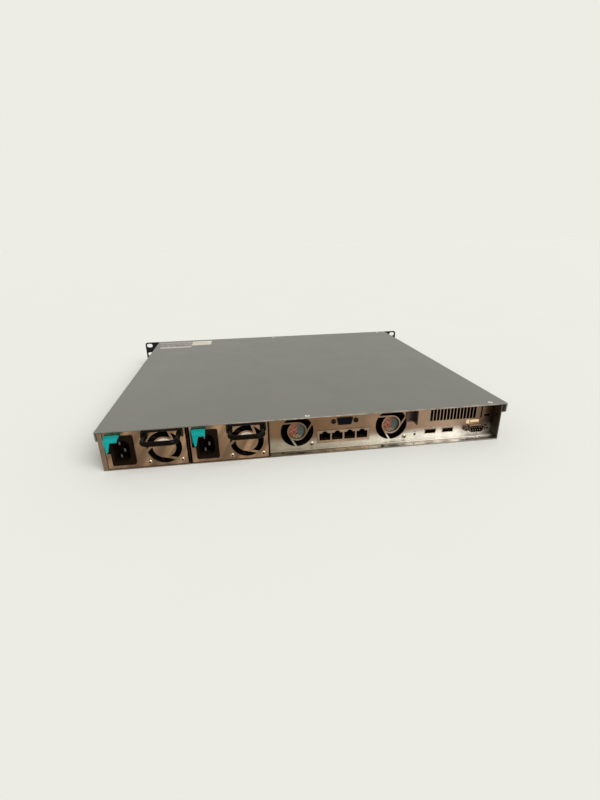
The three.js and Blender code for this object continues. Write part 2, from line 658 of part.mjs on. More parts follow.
// ---------------------------------------------------------------- assembly
const appliance = new THREE.Group();
appliance.add(piece('chassis_tray', chassisTray(), zincSteel));
appliance.add(piece('top_cover', topCover(), greyPaint));
appliance.add(piece('bay_partition', partition(PARTITION_X), zincSteel));
appliance.add(piece('bay_divider', partition(DIVIDER_X), zincSteel));
appliance.add(piece('rear_panel', rearPanel(), zincSteel));
appliance.add(piece('support_bracket', supportBracket(), zincSteel));
appliance.add(piece('front_panel', frontPanel(), blackPaint));
appliance.add(piece('rack_ear_right', rackEar(1), blackPaint));
appliance.add(piece('rack_ear_left', rackEar(-1), blackPaint));
appliance.add(piece('power_button', powerButton(), blackPlastic));
appliance.add(piece('power_switch', box([185, 195], [-199.5, -192], [17, 27]), blackPlastic));
appliance.add(piece('status_lens', box([166, 178], [PANEL_FRONT - 0.4, PANEL_FRONT + 5], [19.8, 23.8]), lensGreen));

const jacks = [
  ['rear_network_jacks', REAR_JACKS_X, PANEL_REAR + 0.4, 0],
  ['front_network_jacks_1', FRONT_JACKS_X[1], PANEL_FRONT - 0.4, Math.PI],
  ['front_network_jacks_2', FRONT_JACKS_X[2], PANEL_FRONT - 0.4, Math.PI],
];
for (const [name, x, y, turn] of jacks) {
  const block = piece(name, jackBlock(), portShield);
  block.position.set(x, y, JACK_BOTTOM);
  block.rotation.z = turn;
  appliance.add(block);
}

for (const number of [1, 2]) {
  const socket = piece(`usb_socket_${number}`, usbSocket(), portShield);
  socket.position.set(USB.x[number], PANEL_REAR + 0.3, USB.z);
  appliance.add(socket);
}

const video = piece('video_port', videoPort(), portShield);
video.position.set(VIDEO_PORT.x, PANEL_REAR, VIDEO_PORT.z);
const serial = piece('serial_port', serialPort(), portShield);
serial.position.set(SERIAL_PORT.x, PANEL_REAR, SERIAL_PORT.z);
appliance.add(video, serial);

for (const number of [1, 2]) {
  const fan = new THREE.Group();
  fan.position.set(FAN_X[number], PANEL_REAR - THIN - GAP, FAN_AXIS_Z);
  fan.add(piece(`rear_fan_${number}_frame`, fanFrame(FAN_SIZE, FAN_DEPTH), blackPlastic));
  fan.add(piece(`rear_fan_${number}_rotor`, fanRotor(FAN_SIZE, FAN_DEPTH), blackPlastic));
  appliance.add(fan);
}

appliance.add(piece('motherboard', motherboard(), boardGreen));
appliance.add(piece('processor_heatsink', finnedHeatsink([-110, -40], [-20, 60], [5.9, 34], 16), aluminium));
appliance.add(piece('memory_module_1', memoryModule(-150), boardGreen));
appliance.add(piece('memory_module_2', memoryModule(-162), boardGreen));
appliance.add(piece('power_backplane', powerBackplane(), boardGreen));
appliance.add(piece('power_harness', powerHarness(), wireRed));
appliance.add(piece('drive_bracket', driveBracket(), zincSteel));
appliance.add(piece('storage_drive', storageDrive(), aluminium));
appliance.add(piece('front_port_board', box([-82, 54], [-206, -150], BOARD_Z), boardGreen));
appliance.add(powerModule(1));
appliance.add(powerModule(2));

export default appliance;
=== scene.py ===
"""The looks of a one-unit firewall appliance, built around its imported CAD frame. Metres, +Z up."""
import math
import random

import bmesh
import bpy
from mathutils import Matrix, Vector


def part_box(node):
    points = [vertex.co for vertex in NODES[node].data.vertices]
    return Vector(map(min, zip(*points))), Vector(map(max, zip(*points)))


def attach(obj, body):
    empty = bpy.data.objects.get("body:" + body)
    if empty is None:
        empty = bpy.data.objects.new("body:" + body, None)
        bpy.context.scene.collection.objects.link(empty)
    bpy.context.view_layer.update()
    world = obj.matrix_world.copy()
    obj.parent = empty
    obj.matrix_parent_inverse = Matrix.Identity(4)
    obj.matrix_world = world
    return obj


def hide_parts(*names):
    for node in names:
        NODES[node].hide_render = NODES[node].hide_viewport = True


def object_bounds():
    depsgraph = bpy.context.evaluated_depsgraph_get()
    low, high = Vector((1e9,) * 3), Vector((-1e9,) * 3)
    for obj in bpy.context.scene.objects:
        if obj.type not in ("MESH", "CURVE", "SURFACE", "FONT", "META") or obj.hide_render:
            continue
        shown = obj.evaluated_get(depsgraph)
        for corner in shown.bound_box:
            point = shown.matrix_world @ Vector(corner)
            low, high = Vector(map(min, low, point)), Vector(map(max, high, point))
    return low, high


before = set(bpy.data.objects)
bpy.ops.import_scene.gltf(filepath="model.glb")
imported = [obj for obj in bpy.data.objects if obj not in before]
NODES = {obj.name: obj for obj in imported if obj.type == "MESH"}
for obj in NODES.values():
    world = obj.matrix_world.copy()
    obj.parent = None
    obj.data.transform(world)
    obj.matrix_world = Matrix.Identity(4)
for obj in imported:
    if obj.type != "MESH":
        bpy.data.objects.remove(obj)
cad_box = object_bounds()
MM = 0.001

# ---------------------------------------------------------------- driving values
CAMERA_AT = (0.0682, 0.6180, 0.2098)
CAMERA_TARGET = (0.0032, 0.1437, 0.0)
CAMERA_ROLL = -1.15  # degrees
CAMERA_LENS = 19.32
CAMERA_SHIFT = 0.0375
BACKGROUND = (0.847, 0.847, 0.783)
FLOOR_COLOR = (0.478, 0.478, 0.460)
FLOOR_RADIUS = 60
FLOOR_DROP = 0.4 * MM  # keeps the floor just clear of the underside
SUN_STRENGTH = 4.2
SUN_WIDTH = 42  # degrees

SUPPLIES = (1, 2)
REAR_FANS = (1, 2)
USB_SOCKETS = (1, 2)
BLACK, WHITE = (0, 0, 0), (1, 1, 1)
ZINC = (0.30, 0.20, 0.13)
SUPPLY_STEEL = (0.275, 0.17, 0.102)
OUTER_STEEL = (0.44, 0.40, 0.35)
# painted shade on the tray's inner wall
INNER_WALL_SHADE = (0.030, 0.024, 0.021)
BAY_FLOOR = (0.25, 0.175, 0.12)
PAINTED_REFLECTION_TOP = 0.0115  # the rear panel's painted floor reflection, a pale band, ends at about this height
BODY_HALF_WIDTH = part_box("chassis_tray")[1].x
PANEL_RIGHT, PANEL_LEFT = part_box("rear_panel")[0].x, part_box("rear_panel")[1].x
PANEL_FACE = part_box("rear_panel")[0].y + 1.0 * MM  # the rear side of its 1.0 mm sheet
COVER_LOW, COVER_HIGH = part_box("top_cover")
JACK_PITCH = 13.97 * MM
FAN_SCREW_OFFSET = 16 * MM
GUARD_SCREW_OFFSET = (16.3 * MM, 15.6 * MM)
STICKER_RADIUS = 9.0 * MM
STICKER_INSET = 0.78 * MM


def middle(node):
    low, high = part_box(node)
    return (low + high) / 2


# ---------------------------------------------------------------- mesh helpers
def new_object(name, mesh, material, body, place=None):
    """Adds a mesh as a piece that rides on a body; a mesh that has materials keeps them."""
    piece = bpy.data.objects.new(name, mesh)
    bpy.context.scene.collection.objects.link(piece)
    if not mesh.materials:
        mesh.materials.append(material)
    if place is not None:
        piece.matrix_world = place
    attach(piece, body)
    return piece


def mesh_from(name, points, faces):
    mesh = bpy.data.meshes.new(name)
    mesh.from_pydata([tuple(p) for p in points], [], faces)
    mesh.validate()
    work = bmesh.new()
    work.from_mesh(mesh)
    bmesh.ops.recalc_face_normals(work, faces=work.faces)
    work.to_mesh(mesh)
    work.free()
    return mesh


def smooth(mesh, degrees=35):
    for polygon in mesh.polygons:
        polygon.use_smooth = True
    mesh.set_sharp_from_angle(angle=math.radians(degrees))
    return mesh


def soften(piece, width, segments=2, degrees=35):
    """Rounds a piece's edges with a bevel, for the light that a real edge catches."""
    bevel = piece.modifiers.new("soft_edges", "BEVEL")
    bevel.width = width
    bevel.segments = segments
    bevel.limit_method = "ANGLE"
    bevel.angle_limit = math.radians(degrees)
    bevel.harden_normals = True
    return piece


def prism(name, outline, low, high, plane="xz"):
    """An outline pushed from low to high along the axis that the plane leaves out."""
    def place(u, v, w):
        return {"xz": (u, w, v), "xy": (u, v, w), "yz": (w, u, v)}[plane]
    count = len(outline)
    points = [place(u, v, w) for w in (low, high) for u, v in outline]
    sides = [(i, (i + 1) % count, count + (i + 1) % count, count + i) for i in range(count)]
    return mesh_from(name, points, [tuple(range(count)), tuple(range(count, 2 * count))] + sides)


def box_mesh(name, low, high):
    outline = [(low[0], low[2]), (high[0], low[2]), (high[0], high[2]), (low[0], high[2])]
    return prism(name, outline, low[1], high[1])


def lathe(name, profile, segments=40):
    """Turns (radius, height) pairs about the Z axis; the profile starts and ends on the axis."""
    points = [(0, 0, profile[0][1])]
    for radius, height in profile[1:-1]:
        for i in range(segments):
            angle = 2 * math.pi * i / segments
            points.append((radius * math.cos(angle), radius * math.sin(angle), height))
    points.append((0, 0, profile[-1][1]))
    last = len(points) - 1
    rings = len(profile) - 2
    faces = [(0, 1 + (i + 1) % segments, 1 + i) for i in range(segments)]
    for ring in range(rings - 1):
        a, b = 1 + ring * segments, 1 + (ring + 1) * segments
        faces += [(a + i, a + (i + 1) % segments, b + (i + 1) % segments, b + i) for i in range(segments)]
    start = 1 + (rings - 1) * segments
    faces += [(start + i, start + (i + 1) % segments, last) for i in range(segments)]
    return mesh_from(name, points, faces)


def sweep(name, path, radius, sides=20):
    """A round bar along a path that lies in one level plane."""
    points, faces = [], []
    for i, point in enumerate(path):
        before, after = path[max(i - 1, 0)], path[min(i + 1, len(path) - 1)]
        along = (after - before).normalized()
        across = along.cross(Vector((0, 0, 1))).normalized()
        for k in range(sides):
            angle = 2 * math.pi * k / sides
            points.append(point + radius * (math.cos(angle) * across + math.sin(angle) * Vector((0, 0, 1))))
    for i in range(len(path) - 1):
        for k in range(sides):
            a, b = i * sides, (i + 1) * sides
            faces.append((a + k, a + (k + 1) % sides, b + (k + 1) % sides, b + k))
    faces.append(tuple(range(sides)))
    faces.append(tuple(range((len(path) - 1) * sides, len(path) * sides)))
    return mesh_from(name, points, faces)


def joined(name, meshes):
    """One mesh that holds several loose bodies."""
    points, faces = [], []
    for mesh in meshes:
        start = len(points)
        points += [v.co.copy() for v in mesh.vertices]
        faces += [tuple(start + i for i in polygon.vertices) for polygon in mesh.polygons]
    return mesh_from(name, points, faces)


def moved(mesh, offset):
    mesh.transform(Matrix.Translation(offset))
    return mesh


FACING = {
    "+y": Matrix.Rotation(math.radians(-90), 4, "X"),
    "-y": Matrix.Rotation(math.radians(90), 4, "X"),
    "+z": Matrix.Identity(4),
    "+x": Matrix.Rotation(math.radians(90), 4, "Y"),
    "-x": Matrix.Rotation(math.radians(-90), 4, "Y"),
}


# ---------------------------------------------------------------- material helpers
class Surface:
    """A Principled material with short calls for the patterns that feed it."""

    MIX_FACTOR, MIX_FIRST, MIX_SECOND, MIX_RESULT = 0, 6, 7, 2  # the Mix node's sockets for colours

    def __init__(self, name, color, roughness, metallic=0.0):
        self.material = bpy.data.materials.new(name)
        self.material.use_nodes = True
        self.tree = self.material.node_tree
        self.shader = self.tree.nodes["Principled BSDF"]
        self.shader.inputs["Metallic"].default_value = metallic
        self.shader.inputs["Base Color"].default_value = (*color, 1)
        self.shader.inputs["Roughness"].default_value = roughness
        self.coordinates = self.tree.nodes.new("ShaderNodeTexCoord").outputs["Object"]
        self.bump = None

    def link(self, source, target):
        self.tree.links.new(source, target)

    def node(self, kind, **settings):
        made = self.tree.nodes.new(kind)
        for key, value in settings.items():
            if key in made.inputs:
                made.inputs[key].default_value = value
            else:
                setattr(made, key, value)
        return made

    def stretched(self, scale):
        mapping = self.node("ShaderNodeMapping")
        mapping.inputs["Scale"].default_value = scale
        self.link(self.coordinates, mapping.inputs["Vector"])
        return mapping.outputs["Vector"]

    def noise(self, scale, detail=3, roughness=0.55, stretch=(1, 1, 1)):
        made = self.node("ShaderNodeTexNoise", Scale=scale, Detail=detail, Roughness=roughness)
        self.link(self.stretched(stretch), made.inputs["Vector"])
        return made.outputs["Fac"]

    def ramp(self, source, stops):
        made = self.node("ShaderNodeValToRGB")
        elements = made.color_ramp.elements
        while len(elements) < len(stops):
            elements.new(0.5)
        for element, (position, color) in zip(elements, stops):
            element.position = position
            element.color = (*color, 1) if len(color) == 3 else color
        self.link(source, made.inputs["Fac"])
        return made.outputs["Color"]

    def distance(self, axis):
        """How far along an object axis a point lies."""
        split = self.node("ShaderNodeSeparateXYZ")
        self.link(self.coordinates, split.inputs["Vector"])
        return split.outputs[axis]

    def spread(self, source, low, high, first=0, last=1):
        """Takes a value from the range low to high to the range first to last."""
        ends = {"From Min": low, "From Max": high, "To Min": first, "To Max": last}
        made = self.node("ShaderNodeMapRange", **ends)
        self.link(source, made.inputs["Value"])
        return made.outputs["Result"]

    def along(self, axis, low, high, stops):
        """A colour that depends on how far along an object axis a point lies."""
        fraction = self.spread(self.distance(axis), low, high)
        return self.ramp(fraction, [((at - low) / (high - low), color) for at, color in stops])

    def vector(self, operation, source, other=(0, 0, 0)):
        made = self.node("ShaderNodeVectorMath", operation=operation)
        made.inputs[1].default_value = other
        self.link(source, made.inputs[0])
        return made.outputs

    def paint(self, source):
        self.link(source, self.shader.inputs["Base Color"])

    def colors(self, source, stops):
        self.paint(self.ramp(source, stops))

    def blended(self, kind, first, second):
        made = self.node("ShaderNodeMix", data_type="RGBA", blend_type=kind)
        self.link(first, made.inputs[self.MIX_FIRST])
        self.link(second, made.inputs[self.MIX_SECOND])
        return made

    def mixed(self, factor, first, second):
        made = self.blended("MIX", first, second)
        self.link(factor, made.inputs[self.MIX_FACTOR])
        return made.outputs[self.MIX_RESULT]

    def multiplied(self, first, second):
        made = self.blended("MULTIPLY", first, second)
        made.inputs[self.MIX_FACTOR].default_value = 1.0
        return made.outputs[self.MIX_RESULT]

    def clouded(self, source):
        """Dulls a plated colour in soft patches."""
        dull = self.ramp(self.noise(38, 4, 0.6), [(0.3, (0.74, 0.72, 0.70)), (0.7, WHITE)])
        return self.multiplied(source, dull)

    def roughness(self, source, low, high):
        self.link(self.spread(source, 0.3, 0.7, low, high), self.shader.inputs["Roughness"])

    def relief(self, source, depth, strength):
        made = self.node("ShaderNodeBump")
        made.inputs["Strength"].default_value = strength
        made.inputs["Distance"].default_value = depth
        self.link(source, made.inputs["Height"])
        if self.bump:
            self.link(self.bump, made.inputs["Normal"])
        self.bump = made.outputs["Normal"]
        self.link(self.bump, self.shader.inputs["Normal"])


def shade(color, amount):
    return tuple(min(1.0, channel * amount) for channel in color)


def plated_steel(name, color, low=0.22, high=0.42, mottle=0.26):
    """Bright zinc plate: warm cloudy colour, fine rolled grain and handling smears."""
    surface = Surface(name, color, low, 1.0)
    stops = [(0.3, shade(color, 1 - mottle)), (0.5, color), (0.72, shade(color, 1 + mottle))]
    surface.colors(surface.noise(38, 4, 0.6), stops)
    grain(surface, low, high)
    return surface.material


def grain(surface, low, high):
    surface.roughness(surface.noise(90, 5, 0.7), low, high)
    surface.relief(surface.noise(900, 2, 0.5, (1, 1, 0.05)), 0.00002, 0.5)
    surface.relief(surface.noise(22, 2, 0.4), 0.0004, 0.25)


def faceplate_steel(name, number):
    """A module's faceplate: painted slanting reflections, and a painted highlight that makes the guard disc
    bright above and tan below.
    """
    surface = Surface(name, SUPPLY_STEEL, 0.25, 1.0)
    # painted slanting reflections, as streaks across the plate
    slant = surface.node("ShaderNodeMapping", vector_type="TEXTURE")
    slant.inputs["Rotation"].default_value = (0, math.radians(-32), 0)
    slant.inputs["Scale"].default_value = (1, 1, 6)
    surface.link(surface.coordinates, slant.inputs["Vector"])
    streaks = surface.node("ShaderNodeTexNoise", Scale=110, Detail=2, Roughness=0.5)
    surface.link(slant.outputs["Vector"], streaks.inputs["Vector"])
    plate = surface.ramp(streaks.outputs["Fac"], [
        (0.34, shade(SUPPLY_STEEL, 0.66)), (0.5, SUPPLY_STEEL), (0.66, shade(SUPPLY_STEEL, 1.55))])
    hub = middle(f"power_supply_{number}_fan_rotor")
    centred = surface.vector("SUBTRACT", surface.coordinates, hub)["Vector"]
    flat = surface.vector("MULTIPLY", centred, (1, 0, 1))["Vector"]
    reach = surface.vector("LENGTH", flat)["Value"]
    inside = surface.spread(reach, 9.4 * MM, 9.7 * MM, 1, 0)
    # painted highlight: the guard disc is lit above its hub
    glow = surface.along("Z", hub.z - 0.02, hub.z + 0.02, [
        (hub.z + 2 * MM, BLACK), (hub.z + 4.5 * MM, WHITE)])
    disc_highlight = surface.multiplied(inside, glow)
    # colour of the painted highlight on the disc
    bright = surface.ramp(surface.noise(120, 2), [(0.3, (0.60, 0.50, 0.44)), (0.7, (0.80, 0.72, 0.66))])
    surface.paint(surface.mixed(disc_highlight, plate, bright))
    grain(surface, 0.2, 0.38)
    return surface.material


def panel_steel(name):
    """The rear panel's plate: pale along the bottom, where a floor reflection is painted; tan above, lighter
    and darker along its width as painted reflection, and dark at its right end as painted shade.
    """
    surface = Surface(name, ZINC, 0.25, 1.0)
    # tan above the band, with painted reflection along the width and painted shade at the right end
    tan = surface.along("X", PANEL_RIGHT, PANEL_LEFT, [
        (PANEL_RIGHT, (0.06, 0.035, 0.022)), (-0.196, (0.20, 0.13, 0.09)), (-0.165, (0.50, 0.345, 0.25)),
        (-0.115, (0.38, 0.245, 0.165)), (-0.070, (0.34, 0.215, 0.14)), (-0.010, (0.25, 0.145, 0.08)),
        (PANEL_LEFT, (0.25, 0.15, 0.08))])
    # pale band: painted reflection of the bright floor, darker at the right end as painted shade
    pale = surface.along("X", PANEL_RIGHT, PANEL_LEFT, [
        (PANEL_RIGHT, (0.34, 0.30, 0.27)), (-0.190, (0.52, 0.49, 0.44)), (-0.150, (0.62, 0.60, 0.55)),
        (-0.070, (0.47, 0.44, 0.375)), (-0.010, (0.33, 0.30, 0.24)), (PANEL_LEFT, (0.34, 0.30, 0.22))])
    wave = surface.node("ShaderNodeMath", operation="MULTIPLY_ADD")
    wave.inputs[1].default_value = 0.010
    surface.link(surface.noise(30, 2, 0.5), wave.inputs[0])
    surface.link(surface.distance("Z"), wave.inputs[2])
    above_reflection = surface.spread(wave.outputs["Value"], PAINTED_REFLECTION_TOP + 2 * MM, PAINTED_REFLECTION_TOP + 9 * MM)
    surface.paint(surface.clouded(surface.mixed(above_reflection, pale, tan)))
    # less metallic in the painted reflection band, so that it shows paler
    surface.link(surface.spread(above_reflection, 0, 1, 0.45, 1), surface.shader.inputs["Metallic"])
    grain(surface, 0.22, 0.42)
    return surface.material


def tray_steel(name):
    """The tray's plate: pale where the open end of the floor is bright, as painted reflection, and dark on
    the inner wall as painted shade.
    """
    surface = Surface(name, ZINC, 0.25, 1.0)
    wall = BODY_HALF_WIDTH - 0.6 * MM
    skin = BODY_HALF_WIDTH - 0.1 * MM
    step = 0.1 * MM
    # across the width: the plate's own tones, painted shade on the inner wall, and a pale painted reflection
    # on the open end of the floor
    placed = surface.along("X", -BODY_HALF_WIDTH - MM, BODY_HALF_WIDTH + MM, [
        (-skin, OUTER_STEEL), (step - skin, SUPPLY_STEEL), (-wall, SUPPLY_STEEL),
        (step - wall, INNER_WALL_SHADE), (1.2 * MM - wall, INNER_WALL_SHADE), (1.6 * MM - wall, (0.37, 0.34, 0.30)),
        (-0.150, (0.47, 0.435, 0.39)), (-0.090, (0.29, 0.265, 0.215)), (0.043, (0.20, 0.175, 0.125)),
        (0.046, (0.17, 0.115, 0.07)), (0.205, BAY_FLOOR), (skin - step, BAY_FLOOR), (skin, OUTER_STEEL)])
    under = surface.along("Z", 0, 2 * MM, [(step, WHITE), (2 * step, BLACK)])
    plain = surface.ramp(surface.noise(38, 4, 0.6), [
        (0.3, shade(OUTER_STEEL, 0.85)), (0.7, shade(OUTER_STEEL, 1.1))])
    surface.paint(surface.mixed(under, surface.clouded(placed), plain))
    grain(surface, 0.22, 0.42)
    return surface.material


def cover_paint(name, color):
    """Grey paint with a fine grain, and pale metal along part of its rear edge, painted there as a highlight.
    """
    surface = Surface(name, color, 0.5)
    paint = surface.ramp(surface.noise(9, 4, 0.6, (1, 0.25, 1)), [
        (0.3, shade(color, 0.95)), (0.7, shade(color, 1.05))])
    # pale metal colour of the painted highlight along the rear edge
    pale_edge_highlight = surface.ramp(surface.noise(70, 3, 0.7), [(0.35, (0.10, 0.085, 0.07)), (0.65, (0.27, 0.235, 0.19))])
    edge = surface.along("Y", cad_box[1].y - 30 * MM, COVER_HIGH.y, [
        (COVER_HIGH.y - 0.5 * MM, BLACK), (COVER_HIGH.y - 0.2 * MM, WHITE)])
    # the painted edge highlight is full up to x 0.06 and a fifth as strong past x 0.12
    reach = surface.along("X", cad_box[0].x, cad_box[1].x, [(0.06, WHITE), (0.12, (0.2, 0.2, 0.2))])
    surface.paint(surface.mixed(surface.multiplied(edge, reach), paint, pale_edge_highlight))
    surface.roughness(surface.noise(20, 4, 0.65), 0.48, 0.54)
    surface.relief(surface.noise(1500, 2, 0.5), 0.00004, 0.6)
    return surface.material


def painted_metal(name, color, roughness, fineness=1500, depth=0.00004, gloss=0.25):
    """Sprayed paint: orange peel, faint clouds and a few rubbed patches."""
    surface = Surface(name, color, roughness)
    surface.shader.inputs["Specular IOR Level"].default_value = gloss
    surface.colors(surface.noise(14, 5, 0.62), [
        (0.3, shade(color, 0.93)), (0.52, color), (0.75, shade(color, 1.07))])
    surface.roughness(surface.noise(20, 4, 0.65), roughness - 0.06, roughness + 0.08)
    surface.relief(surface.noise(fineness, 2, 0.5), depth, 0.6)
    return surface.material


def moulded_plastic(name, color, roughness, fineness=2600, depth=0.00003, gloss=0.2, ior=1.5):
    surface = Surface(name, color, roughness)
    surface.shader.inputs["IOR"].default_value = ior
    surface.shader.inputs["Specular IOR Level"].default_value = gloss
    surface.colors(surface.noise(60, 3), [(0.3, shade(color, 0.88)), (0.7, shade(color, 1.12))])
    surface.roughness(surface.noise(120, 3), roughness - 0.05, roughness + 0.07)
    surface.relief(surface.noise(fineness, 2), depth, 0.5)
    return surface.material


def circuit_board(name):
    """Green solder mask with raised tracks and pale pads."""
    surface = Surface(name, (0.01, 0.09, 0.03), 0.35)
    tracks = surface.node("ShaderNodeTexBrick", Scale=90, offset=0.3)
    tracks.inputs["Color1"].default_value = (0.010, 0.105, 0.035, 1)
    tracks.inputs["Color2"].default_value = (0.006, 0.075, 0.025, 1)
    tracks.inputs["Mortar"].default_value = (0.03, 0.20, 0.06, 1)
    tracks.inputs["Mortar Size"].default_value = 0.02
    surface.link(surface.stretched((1, 2.3, 1)), tracks.inputs["Vector"])
    pads = surface.node("ShaderNodeTexVoronoi", Scale=330)
    surface.link(surface.coordinates, pads.inputs["Vector"])
    spots = surface.ramp(pads.outputs["Distance"], [(0.10, (0.55, 0.52, 0.42)), (0.13, BLACK)])
    mask = surface.ramp(pads.outputs["Distance"], [(0.10, WHITE), (0.13, BLACK)])
    surface.paint(surface.mixed(mask, tracks.outputs["Color"], spots))
    surface.relief(tracks.outputs["Fac"], 0.00005, 0.6)
    return surface.material


def milled_aluminium(name):
    surface = Surface(name, (0.62, 0.63, 0.65), 0.32, 1.0)
    lines = surface.noise(700, 2, 0.5, (1, 0.04, 1))
    surface.colors(lines, [(0.3, (0.5, 0.51, 0.53)), (0.7, (0.72, 0.73, 0.75))])
    surface.relief(lines, 0.00003, 0.5)
    return surface.material


def woven_sleeve(name, color):
    surface = Surface(name, color, 0.6)
    weave = surface.node("ShaderNodeTexWave", Scale=420, Distortion=0.4, bands_direction="DIAGONAL")
    surface.link(surface.coordinates, weave.inputs["Vector"])
    surface.colors(weave.outputs["Fac"], [(0.2, shade(color, 0.5)), (0.8, shade(color, 2.2))])
    surface.relief(weave.outputs["Fac"], 0.0002, 0.7)
    return surface.material


def lens(name, color, glow):
    surface = Surface(name, color, 0.18)
    surface.shader.inputs["Emission Color"].default_value = (*color, 1)
    surface.shader.inputs["Emission Strength"].default_value = glow
    surface.shader.inputs["Coat Weight"].default_value = 0.6
    surface.colors(surface.noise(300, 2), [(0.3, shade(color, 0.8)), (0.7, shade(color, 1.15))])
    return surface.material


def printed_label(name, ground, ink, low, high, edge):
    """A worn foil label: cloudy ground, smeared blocks that say nothing, a bright rear edge."""
    surface = Surface(name, ground, 0.4)
    span = high - low
    blocks = surface.node("ShaderNodeTexBrick", Scale=1, offset=0.37)
    blocks.inputs["Color1"].default_value = (*ink, 1)
    blocks.inputs["Color2"].default_value = (*shade(ink, 1.6), 1)
    blocks.inputs["Mortar"].default_value = (*ground, 1)
    blocks.inputs["Mortar Size"].default_value = 0.10
    blocks.inputs["Mortar Smooth"].default_value = 0.7
    surface.link(surface.stretched((3 / span.x, 0.8 / span.y, 1)), blocks.inputs["Vector"])
    clouds = surface.ramp(surface.noise(90, 3), [(0.3, (0.78, 0.77, 0.77)), (0.7, WHITE)])
    printed = surface.multiplied(blocks.outputs["Color"], clouds)
    plain = surface.ramp(surface.noise(70, 3), [(0.3, shade(ground, 0.85)), (0.7, shade(ground, 1.15))])
    field = surface.along("Y", low.y, high.y, [
        (low.y + 0.20 * span.y, BLACK), (low.y + 0.28 * span.y, WHITE),
        (low.y + 0.72 * span.y, WHITE), (low.y + 0.80 * span.y, BLACK)])
    body = surface.mixed(field, plain, printed)
    bright = surface.ramp(surface.noise(80, 3), [(0.3, shade(edge, 0.8)), (0.7, edge)])
    rim = surface.along("Y", low.y, high.y, [
        (high.y - 0.17 * span.y, BLACK), (high.y - 0.12 * span.y, WHITE)])
    surface.paint(surface.mixed(rim, body, bright))
    surface.roughness(surface.noise(60, 3), 0.34, 0.48)
    return surface.material


MATERIALS = {
    "zinc_steel": plated_steel("plated_steel", ZINC),
    "case_steel": plated_steel("plated_steel_case", OUTER_STEEL, mottle=0.12),
    # support bracket: steel darkened as painted shade on its shadowed face
    "bracket_shade_steel": plated_steel("plated_steel_bracket_shade", (0.085, 0.060, 0.053)),
    "shaded_steel": plated_steel("plated_steel_shaded", (0.020, 0.013, 0.010)),
    "faceplate_1": faceplate_steel("plated_steel_faceplate_1", 1),
    "faceplate_2": faceplate_steel("plated_steel_faceplate_2", 2),
    "tray": tray_steel("plated_steel_tray"),
    "panel": panel_steel("plated_steel_panel"),
    "grey_paint": cover_paint("grey_paint", (0.094, 0.0915, 0.0815)),
    "black_paint": painted_metal("black_powder_coat", (0.006, 0.006, 0.0065), 0.5, 1100, 0.00008, 0.12),
    "bracket_black": painted_metal("bracket_black", (0.006, 0.004, 0.003), 0.45, gloss=0.08),
    "black_plastic": moulded_plastic("black_plastic", (0.0065, 0.0035, 0.002), 0.42, gloss=0.25, ior=1.10),
    "button_black": moulded_plastic("button_black", (0.020, 0.020, 0.021), 0.32, gloss=0.5, ior=1.45),
    "fan_plastic": moulded_plastic("fan_plastic", (0.005, 0.004, 0.003), 0.5, gloss=0.3, ior=1.15),
    "gloss_black": moulded_plastic("gloss_black", (0.003, 0.0022, 0.0015), 0.18, 900, 0.00001, 0.4, 1.11),
    "teal_plastic": moulded_plastic("teal_plastic", (0.002, 0.19, 0.18), 0.42, gloss=0.15, ior=1.3),
    "port_shield": plated_steel("tin_plate", (0.50, 0.42, 0.34), 0.18, 0.34),
    "jack_shield": plated_steel("jack_shield", (0.34, 0.24, 0.165), 0.2, 0.36),
    # video port shell: darkened as painted shade round its mouth
    "shade_dark_shield": plated_steel("shade_dark_shield", (0.045, 0.034, 0.027), 0.25, 0.4),
    "dark_shield": plated_steel("dark_shield", (0.20, 0.155, 0.12), 0.2, 0.36),
    "screw_steel": plated_steel("screw_steel", (0.46, 0.36, 0.26), 0.2, 0.36),
    "cover_screw": plated_steel("cover_screw", (0.85, 0.83, 0.78), 0.2, 0.36),
    "recess_shade": plated_steel("recess_shade", (0.05, 0.035, 0.025), 0.4, 0.5),
    "gold_contact": plated_steel("gold_contact", (0.60, 0.42, 0.16), 0.2, 0.3),
    "blade_steel": plated_steel("blade_steel", (0.11, 0.10, 0.095), 0.2, 0.32),
    "circuit_board": circuit_board("circuit_board"),
    "aluminium": milled_aluminium("milled_aluminium"),
    "green_lens": lens("green_lens", (0.10, 0.62, 0.20), 0.2),
    "wire_sleeve": woven_sleeve("wire_sleeve", (0.025, 0.025, 0.027)),
    "socket_blue": moulded_plastic("socket_blue", (0.003, 0.005, 0.009), 0.4, gloss=0.3, ior=1.12),
    "mark_ink": moulded_plastic("mark_ink", (0.10, 0.055, 0.03), 0.5),
    "cream_tag": moulded_plastic("cream_tag", (0.60, 0.47, 0.26), 0.45),
}


# ---------------------------------------------------------------- carried-over CAD nodes
def dress(node, material, edge=0.0, degrees=35, segments=2):
    """Gives a CAD node its material, and rounds its edges where edge is set."""
    piece = NODES[node]
    piece.data.materials.clear()
    piece.data.materials.append(MATERIALS[material])
    if edge:
        soften(piece, edge, segments, degrees)
    return piece


